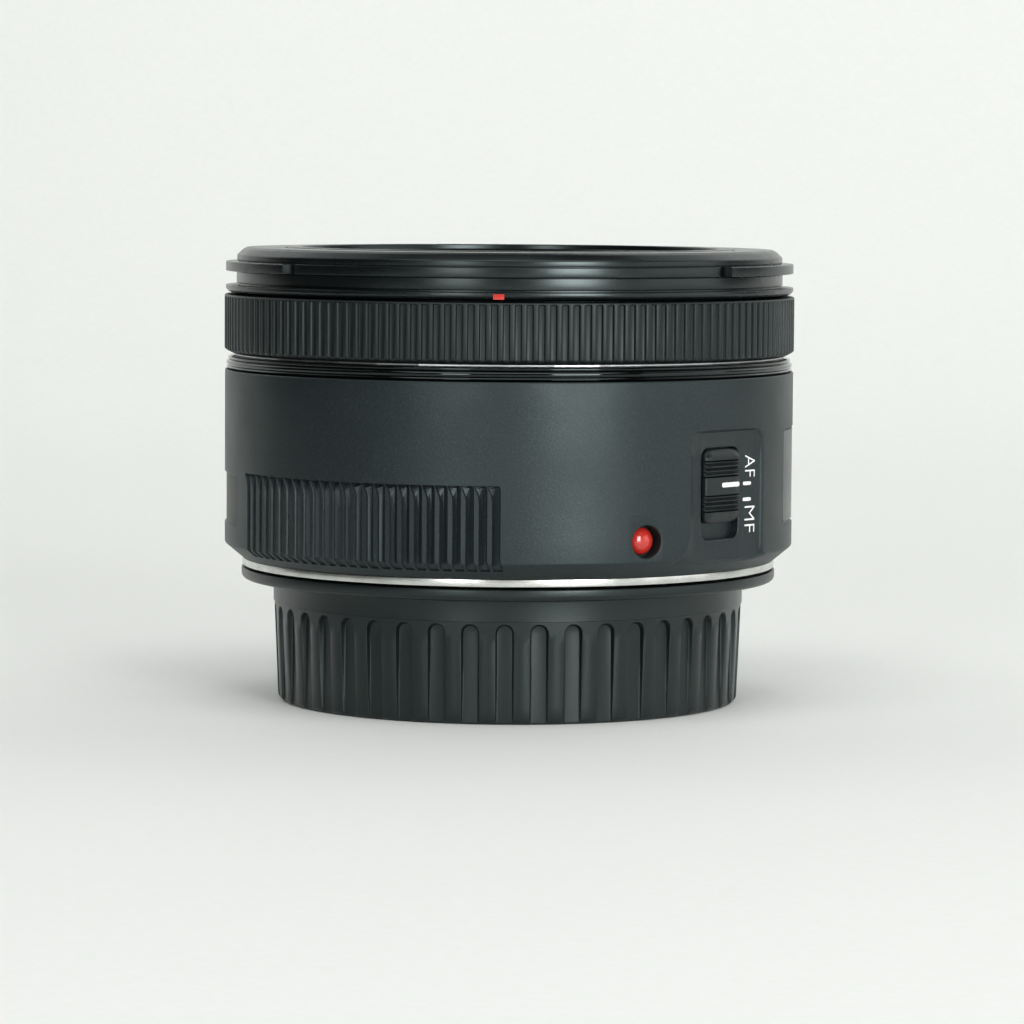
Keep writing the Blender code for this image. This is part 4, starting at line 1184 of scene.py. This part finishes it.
# %% Focus ring
FOCUS_RIBS = 160
RIB_PITCH = 360 / FOCUS_RIBS
RIB_DEPTH = 0.36
half_rib = math.radians(RIB_PITCH) * GRIP_R / 2
rib_columns = [(-half_rib, 1.0), (-0.42, 1.0), (-0.375, 0.94), (-0.285, 0.1), (-0.24, 0.0), (0.0, 0.0),
               (0.24, 0.0), (0.285, 0.1), (0.375, 0.94), (0.42, 1.0), (half_rib, 1.0)]
rib_rows = [(GRIP_Z0 + 0.0, 33.7, 0.0), (GRIP_Z0 + 0.12, 33.95, 0.0), (GRIP_Z0 + 0.3, 34.3, 0.3),
            (GRIP_Z0 + 0.48, GRIP_R - 0.05, 0.75), (GRIP_Z0 + 0.62, GRIP_R, 1.0),
            (GRIP_Z0 + 3.4, GRIP_R, 1.0), (GRIP_TOP - 0.42, GRIP_R, 1.0), (GRIP_TOP - 0.3, GRIP_R, 0.9),
            (GRIP_TOP - 0.24, GRIP_R, 0.1), (GRIP_TOP - 0.2, GRIP_R, 0.0),
            (GRIP_TOP - 0.08, GRIP_R - 0.03, 0.0), (GRIP_TOP - 0.01, GRIP_R - 0.12, 0.0),
            (GRIP_TOP, GRIP_R - 0.3, 0.0), (GRIP_TOP, 32.0, 0.0),
            (47.2, 32.0, 0.0), (47.2, 33.2, 0.0), (43.8, 33.2, 0.0), (43.8, 32.0, 0.0),
            (GRIP_Z0, 32.0, 0.0)]


def focus_slice():
    bm = bmesh.new()
    grid = []
    for z, full_r, ribbed in rib_rows:
        grid.append([bm.verts.new((*polar(math.degrees(x / GRIP_R), full_r - ribbed * RIB_DEPTH * sunk), z))
                     for x, sunk in rib_columns])
    for low, high in zip(grid, grid[1:] + grid[:1]):
        for k in range(len(rib_columns) - 1):
            bm.faces.new((low[k], low[k + 1], high[k + 1], high[k]))
    return bm


focus_mesh = ring_of_slices("focus", focus_slice(), FOCUS_RIBS, RIB_PITCH, 0.6, ring_plastic)
place_piece("ribbed_focus_ring", focus_mesh, ring_plastic, "focus_grip", ["focus_ring"], 40)

# %% [markdown]
# ## Front ring
#
# The fixed front ring carries two long lugs for a lens hood and a red mark to line the hood up. Its
# outline is swept like the others, with the lug band pushed out between two angles on each side.

# %% Front ring
HOOD_LUG_MIDDLES, HOOD_LUG_HALF, HOOD_SLOPE = (90, 268.6), 41.5, 0.35
NECK_R = 33.15
BAND_R = 33.27
NOTCH = 1.0


def hood_share(angle):
    gap = min(abs((angle - middle + 180) % 360 - 180) for middle in HOOD_LUG_MIDDLES)
    return min(max((HOOD_LUG_HALF - gap) / HOOD_SLOPE, 0), 1), gap


def front_outline(angle):
    share, gap = hood_share(angle)
    in_notch = HOOD_LUG_HALF < gap < HOOD_LUG_HALF + NOTCH
    band = (33.0 if in_notch else BAND_R) + share * (HOOD_R - BAND_R)
    return soften([(33.6, 49.42, 0.1), (34.15, 49.6, 0.3), (HOOD_R, 49.97, 0.15), (HOOD_R, 50.38, 0.08),
                   (33.0, 50.42, 0.03), (33.0, 50.62, 0.03), (NECK_R, 50.67, 0.04), (NECK_R, 51.95, 0.04),
                   (33.0, 52.0, 0.02), (33.0, 52.04, 0.02), (band, 52.08, 0.1), (band, 53.22, 0.12),
                   (33.0, 53.26, 0.02), (33.0, 53.32, 0.02), (33.1, 53.37, 0.05), (33.1, 53.98, 0.3),
                   (32.4, 54.66, 0.3), (31.95, HOOD_TOP, 0.12), (27.5, HOOD_TOP, 0.12), (27.4, 50.2, 0.1),
                   (30.9, 50.2, 0), (30.9, SLEEVE_Z0, 0.1), (31.8, SLEEVE_Z0, 0.1), (31.8, 49.42, 0.05)])


hood_angles = [360 * k / ROUND_STEPS for k in range(ROUND_STEPS)]
for middle in HOOD_LUG_MIDDLES:
    for side in (-1, 1):
        for gap in (HOOD_LUG_HALF - HOOD_SLOPE, HOOD_LUG_HALF - HOOD_SLOPE / 2, HOOD_LUG_HALF,
                    HOOD_LUG_HALF + 0.02, HOOD_LUG_HALF + NOTCH - 0.02, HOOD_LUG_HALF + NOTCH):
            hood_angles.append((middle + side * gap) % 360)
front_bm = swept(front_outline, sorted(set(round(angle, 4) for angle in hood_angles)))
place_piece("hood_ring", finished_mesh("front", front_bm), front_plastic, "lens",
            ["front_ring"])
mark_bm = sector_block(33.9, HOOD_R + 0.03, 1.05, 49.6, 50.22, 0.02, 4)
mark_mesh = ring_of_slices("hood_mark", mark_bm, 1, 0, -2.0, index_red)
place_piece("red_hood_mark", mark_mesh, index_red, "lens", ["hood_index_mark"])

# %% [markdown]
# ## Inner barrel, filter thread and bezel
#
# The inner barrel slides forward to focus, so its outer wall is seen when it is extended. In front it
# holds a filter thread of 0.75 mm pitch and a bezel that steps down to the glass. A real thread climbs
# as one helix. Closed rings look the same at this size, so each turn is the same zigzag, and the tree
# stacks the turns with its rise input.

# %% Inner barrel
place_piece("focus_barrel", finished_mesh("inner", turned([
    (INNER_R, INNER_Z0, 0.15), (INNER_R, INNER_TOP, 0.2), (25.5, INNER_TOP, 0.15), (25.4, 37.5, 0.1),
    (17.6, 37.5, 0.1), (17.6, 49.0, 0.1), (15.0, 49.0, 0.1), (15.0, 43.5, 0.05), (13.4, 43.5, 0.05),
    (13.4, 37.4, 0.05), (11.8, 37.4, 0.05), (11.8, 34.0, 0.05), (17.6, 34.0, 0.1), (17.6, 36.0, 0.1),
    (25.4, 36.0, 0.1), (25.4, INNER_Z0, 0.1)])), front_plastic, "inner", ["inner_barrel"])

THREAD_PITCH, THREAD_TURNS, THREAD_DEPTH = 0.75, 3, 0.4
THREAD_R, THREAD_WALL_R = 24.5, 25.3
_, THREAD_Z0, _ = ring_size("filter_thread_ring")
thread_turn = [(THREAD_WALL_R, 0), (THREAD_WALL_R, THREAD_PITCH), (THREAD_R + THREAD_DEPTH, THREAD_PITCH),
               (THREAD_R, THREAD_PITCH * 0.56), (THREAD_R, THREAD_PITCH * 0.44),
               (THREAD_R + THREAD_DEPTH, 0)]
thread_bm = swept(lambda angle: [(r, THREAD_Z0 + 0.1 + z) for r, z in thread_turn])
thread_mesh = ring_of_slices("thread", thread_bm, THREAD_TURNS, 0, 0, front_plastic, THREAD_PITCH)
place_piece("filter_thread", thread_mesh, front_plastic, "inner", ["filter_thread_ring"])

# %% [markdown]
# The bezel's fine steps stop light that grazes the cone from reaching the glass. They are part of the
# moulding, so here they are a short zigzag in the outline. A plain ring holds the front element.

# %% Bezel and retainer
BEZEL_STEPS = 9
bezel_outline = [(15.1, 49.1), (17.2, 49.1), (25.2, 51.1), (25.2, 52.0), (23.9, 52.0)]
for k in range(BEZEL_STEPS):
    share = k / BEZEL_STEPS
    radius_k = 23.7 - (23.7 - 15.3) * share
    height_k = 51.85 - (51.85 - 49.75) * share
    bezel_outline += [(radius_k, height_k), (radius_k - 0.62, height_k - 0.02)]
bezel_outline.append((15.1, 49.7))
place_piece("stepped_bezel", finished_mesh("bezel", swept(lambda angle: bezel_outline)), front_plastic,
            "inner", ["front_bezel"])
retainer_ring = turned([(14.1, 45.6, 0.05), (14.85, 45.6, 0.05), (14.85, 48.6, 0.1), (14.1, 46.7, 0.1)])
place_piece("glass_retainer", finished_mesh("retainer", retainer_ring), front_plastic, "inner",
            ["front_retainer"])

# %% [markdown]
# ## Glass
#
# The six elements follow the usual double-Gauss layout. Each is turned from two spherical faces: a
# positive curve has its centre behind the face. The faces are smooth enough to mirror the softboxes.

# %% Lens elements
ELEMENTS = (  # edge radius; front vertex, curve, clear radius; back vertex, curve, clear radius
    (14.8, 48.5, 33, 14.8, 44.7, 105, 14.8),
    (13.2, 44.3, 20, 13.2, 40.2, 35, 13.2),
    (11.6, 38.8, 90, 11.6, 37.4, 16, 9.5),
    (11.2, 28.2, -16, 9.0, 26.6, 90, 11.2),
    (11.2, 26.56, 90, 11.2, 21.6, -24, 11.2),
    (11.2, 21.2, 80, 11.2, 17.2, -45, 11.2),
)


def sag(radius, curve):
    return math.copysign(abs(curve) - math.sqrt(curve ** 2 - radius ** 2), curve)


def face_points(vertex, curve, clear_r, edge_r, steps=16):
    points = [(clear_r * k / steps, vertex - sag(clear_r * k / steps, curve)) for k in range(steps + 1)]
    if clear_r < edge_r:
        points.append((edge_r, points[-1][1]))
    return points


for number, (edge_r, front_z, front_c, front_r, back_z, back_c, back_r) in enumerate(ELEMENTS, 1):
    outline = face_points(front_z, front_c, front_r, edge_r)
    outline += face_points(back_z, back_c, back_r, edge_r)[::-1]
    glass_bm = swept(lambda angle: outline, [360 * k / 96 for k in range(96)])
    finish = front_glass if number in (1, 6) else inner_glass
    place_piece(f"glass_{number}", finished_mesh("glass", glass_bm), finish, "inner",
                [f"lens_element_{number}"], sharp=25)

# %% [markdown]
# ## Inner pieces kept from the CAD model
#
# Gears, boards, blades and guides are already the right shape, and are mostly out of sight. They keep
# their CAD meshes and only get their real finish.

# %% Finishes for the kept pieces
kept_finishes = {
    front_plastic: ["guide_tube", "gear_bracket", "rear_lens_cell", "rear_retainer", "aperture_housing"],
    milky_acetal: ["encoder_ring", "cam_ring", "idler_gear", "motor_pinion", "aperture_drive_ring"],
    plated_steel: ["friction_washer", "focus_motor"],
    board_green: ["switch_board", "circuit_board"],
    brass: ["follower_pin_1", "follower_pin_2", "follower_pin_3"],
    blade_steel: [f"aperture_blade_{k + 1}" for k in range(7)],
}
for finish, names in kept_finishes.items():
    for name in names:
        for material_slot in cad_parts[name].material_slots:
            material_slot.material = finish
print("kept pieces:", sum(len(names) for names in kept_finishes.values()))

# %% [markdown]
# ## Floor, backdrop and light
#
# The set is a white sweep: paper that curves from the table up into the background, so there is no
# horizon line.

# %% Sweep
def paper():
    material, tree, shader = new_material("white_sweep_paper", Roughness=0.75)
    fibre = noise(tree, object_point(tree), 1.5, detail=5.0)
    tree.links.new(blend_colours(tree, fibre, "E9ECE8", "EFF1EE"), shader.inputs["Base Color"])
    bump(tree, shader, fibre, 0.02)
    return material


SWEEP_FRONT, SWEEP_BACK, SWEEP_CURVE, SWEEP_TOP, SWEEP_HALF = -900, 420, 260, 1100, 1300
bend = arc_points(SWEEP_CURVE, -90, 0, 24, (SWEEP_BACK, SWEEP_CURVE))
path = [(SWEEP_FRONT, 0)] + bend + [(SWEEP_BACK + SWEEP_CURVE, SWEEP_TOP)]
sweep_bm = bmesh.new()
sides = [[sweep_bm.verts.new((side * SWEEP_HALF, y, z)) for y, z in path] for side in (-1, 1)]
for i in range(len(path) - 1):
    sweep_bm.faces.new((sides[0][i], sides[1][i], sides[1][i + 1], sides[0][i + 1]))
bmesh.ops.scale(sweep_bm, vec=(MM, MM, MM), verts=sweep_bm.verts)
sweep_mesh = bpy.data.meshes.new("sweep")
sweep_bm.to_mesh(sweep_mesh)
sweep_mesh.materials.append(paper())
sweep_mesh.shade_smooth()
sweep = bpy.data.objects.new("paper_sweep", sweep_mesh)
bpy.context.scene.collection.objects.link(sweep)
print("paper sweep:", len(sweep_mesh.polygons), "faces")

# %% [markdown]
# ### Lights
#
# Two tall strips in front give the barrel its two upright highlights, and a card on the right lights
# that edge. A broad box hangs over the table, two weak ones stand behind the lens to the left and the
# right, and the last one lights the backdrop. The room itself is dim, so black plastic stays black
# between the highlights.

# %% Softboxes
def softbox(name, angle, distance, height, width, tall, watts, aim=(0, 0, 0.035)):
    """A rectangular light at this angle round the lens, turned to face a point."""
    data = bpy.data.lights.new(name, "AREA")
    data.shape = "RECTANGLE"
    data.size = width
    data.size_y = tall
    data.energy = watts
    light = bpy.data.objects.new(name, data)
    bpy.context.scene.collection.objects.link(light)
    light.location = (*polar(angle, distance), height)
    towards = Vector(aim) - light.location
    light.rotation_euler = towards.to_track_quat("-Z", "Y").to_euler()
    return light


softbox("left_strip", -21, 0.9, 0.1, 0.17, 0.5, 2.2)
softbox("right_strip", 26.5, 0.9, 0.1, 0.3, 0.5, 6.5)
softbox("right_card", 75, 0.9, 0.1, 0.7, 0.5, 1.6)
softbox("left_table_light", -125, 0.75, 0.6, 1.0, 0.9, 1.8)
softbox("right_table_light", 125, 0.75, 0.6, 1.0, 0.9, 2.4)
softbox("overhead_light", 0, 0.42, 0.85, 1.2, 0.5, 5.4, aim=(0, 0, 0))
softbox("backdrop_light", 180, 0.3, 0.75, 1.6, 0.3, 1.8, aim=(0, 1.0, 0.45))

# a black card beside the lens keeps the left side dark, and the camera looks past it
flag_bm = bmesh.new()
corners = [(-0.25, -0.18, 0.001), (-0.25, 0.07, 0.001), (-0.25, 0.07, 0.18), (-0.25, -0.18, 0.18)]
flag_bm.faces.new([flag_bm.verts.new(corner) for corner in corners])
flag_mesh = bpy.data.meshes.new("flag")
flag_bm.to_mesh(flag_mesh)
flag_bm.free()
black_card, card_tree, card_shader = new_material("black_card", Roughness=0.9)
card_fibre = noise(card_tree, object_point(card_tree), 1.0)
card_shade = blend_colours(card_tree, card_fibre, "080808", "121212")
card_tree.links.new(card_shade, card_shader.inputs["Base Color"])
flag_mesh.materials.append(black_card)
flag = bpy.data.objects.new("black_card", flag_mesh)
flag.visible_camera = False
bpy.context.scene.collection.objects.link(flag)

# the room is dim to the lens, and pale where the camera looks over the edge of the paper
world = bpy.data.worlds.new("studio")
world.use_nodes = True
ROOM_PALE, ROOM_DIM = 0.86, 0.055
seen = add_node(world.node_tree, "ShaderNodeLightPath").outputs["Is Camera Ray"]
room = remap(world.node_tree, seen, 0, 1, ROOM_DIM, ROOM_PALE)
background = world.node_tree.nodes["Background"]
background.inputs["Color"].default_value = (0.97, 1.0, 0.97, 1)
world.node_tree.links.new(room, background.inputs["Strength"])
bpy.context.scene.world = world
bpy.context.scene.view_settings.view_transform = "Standard"
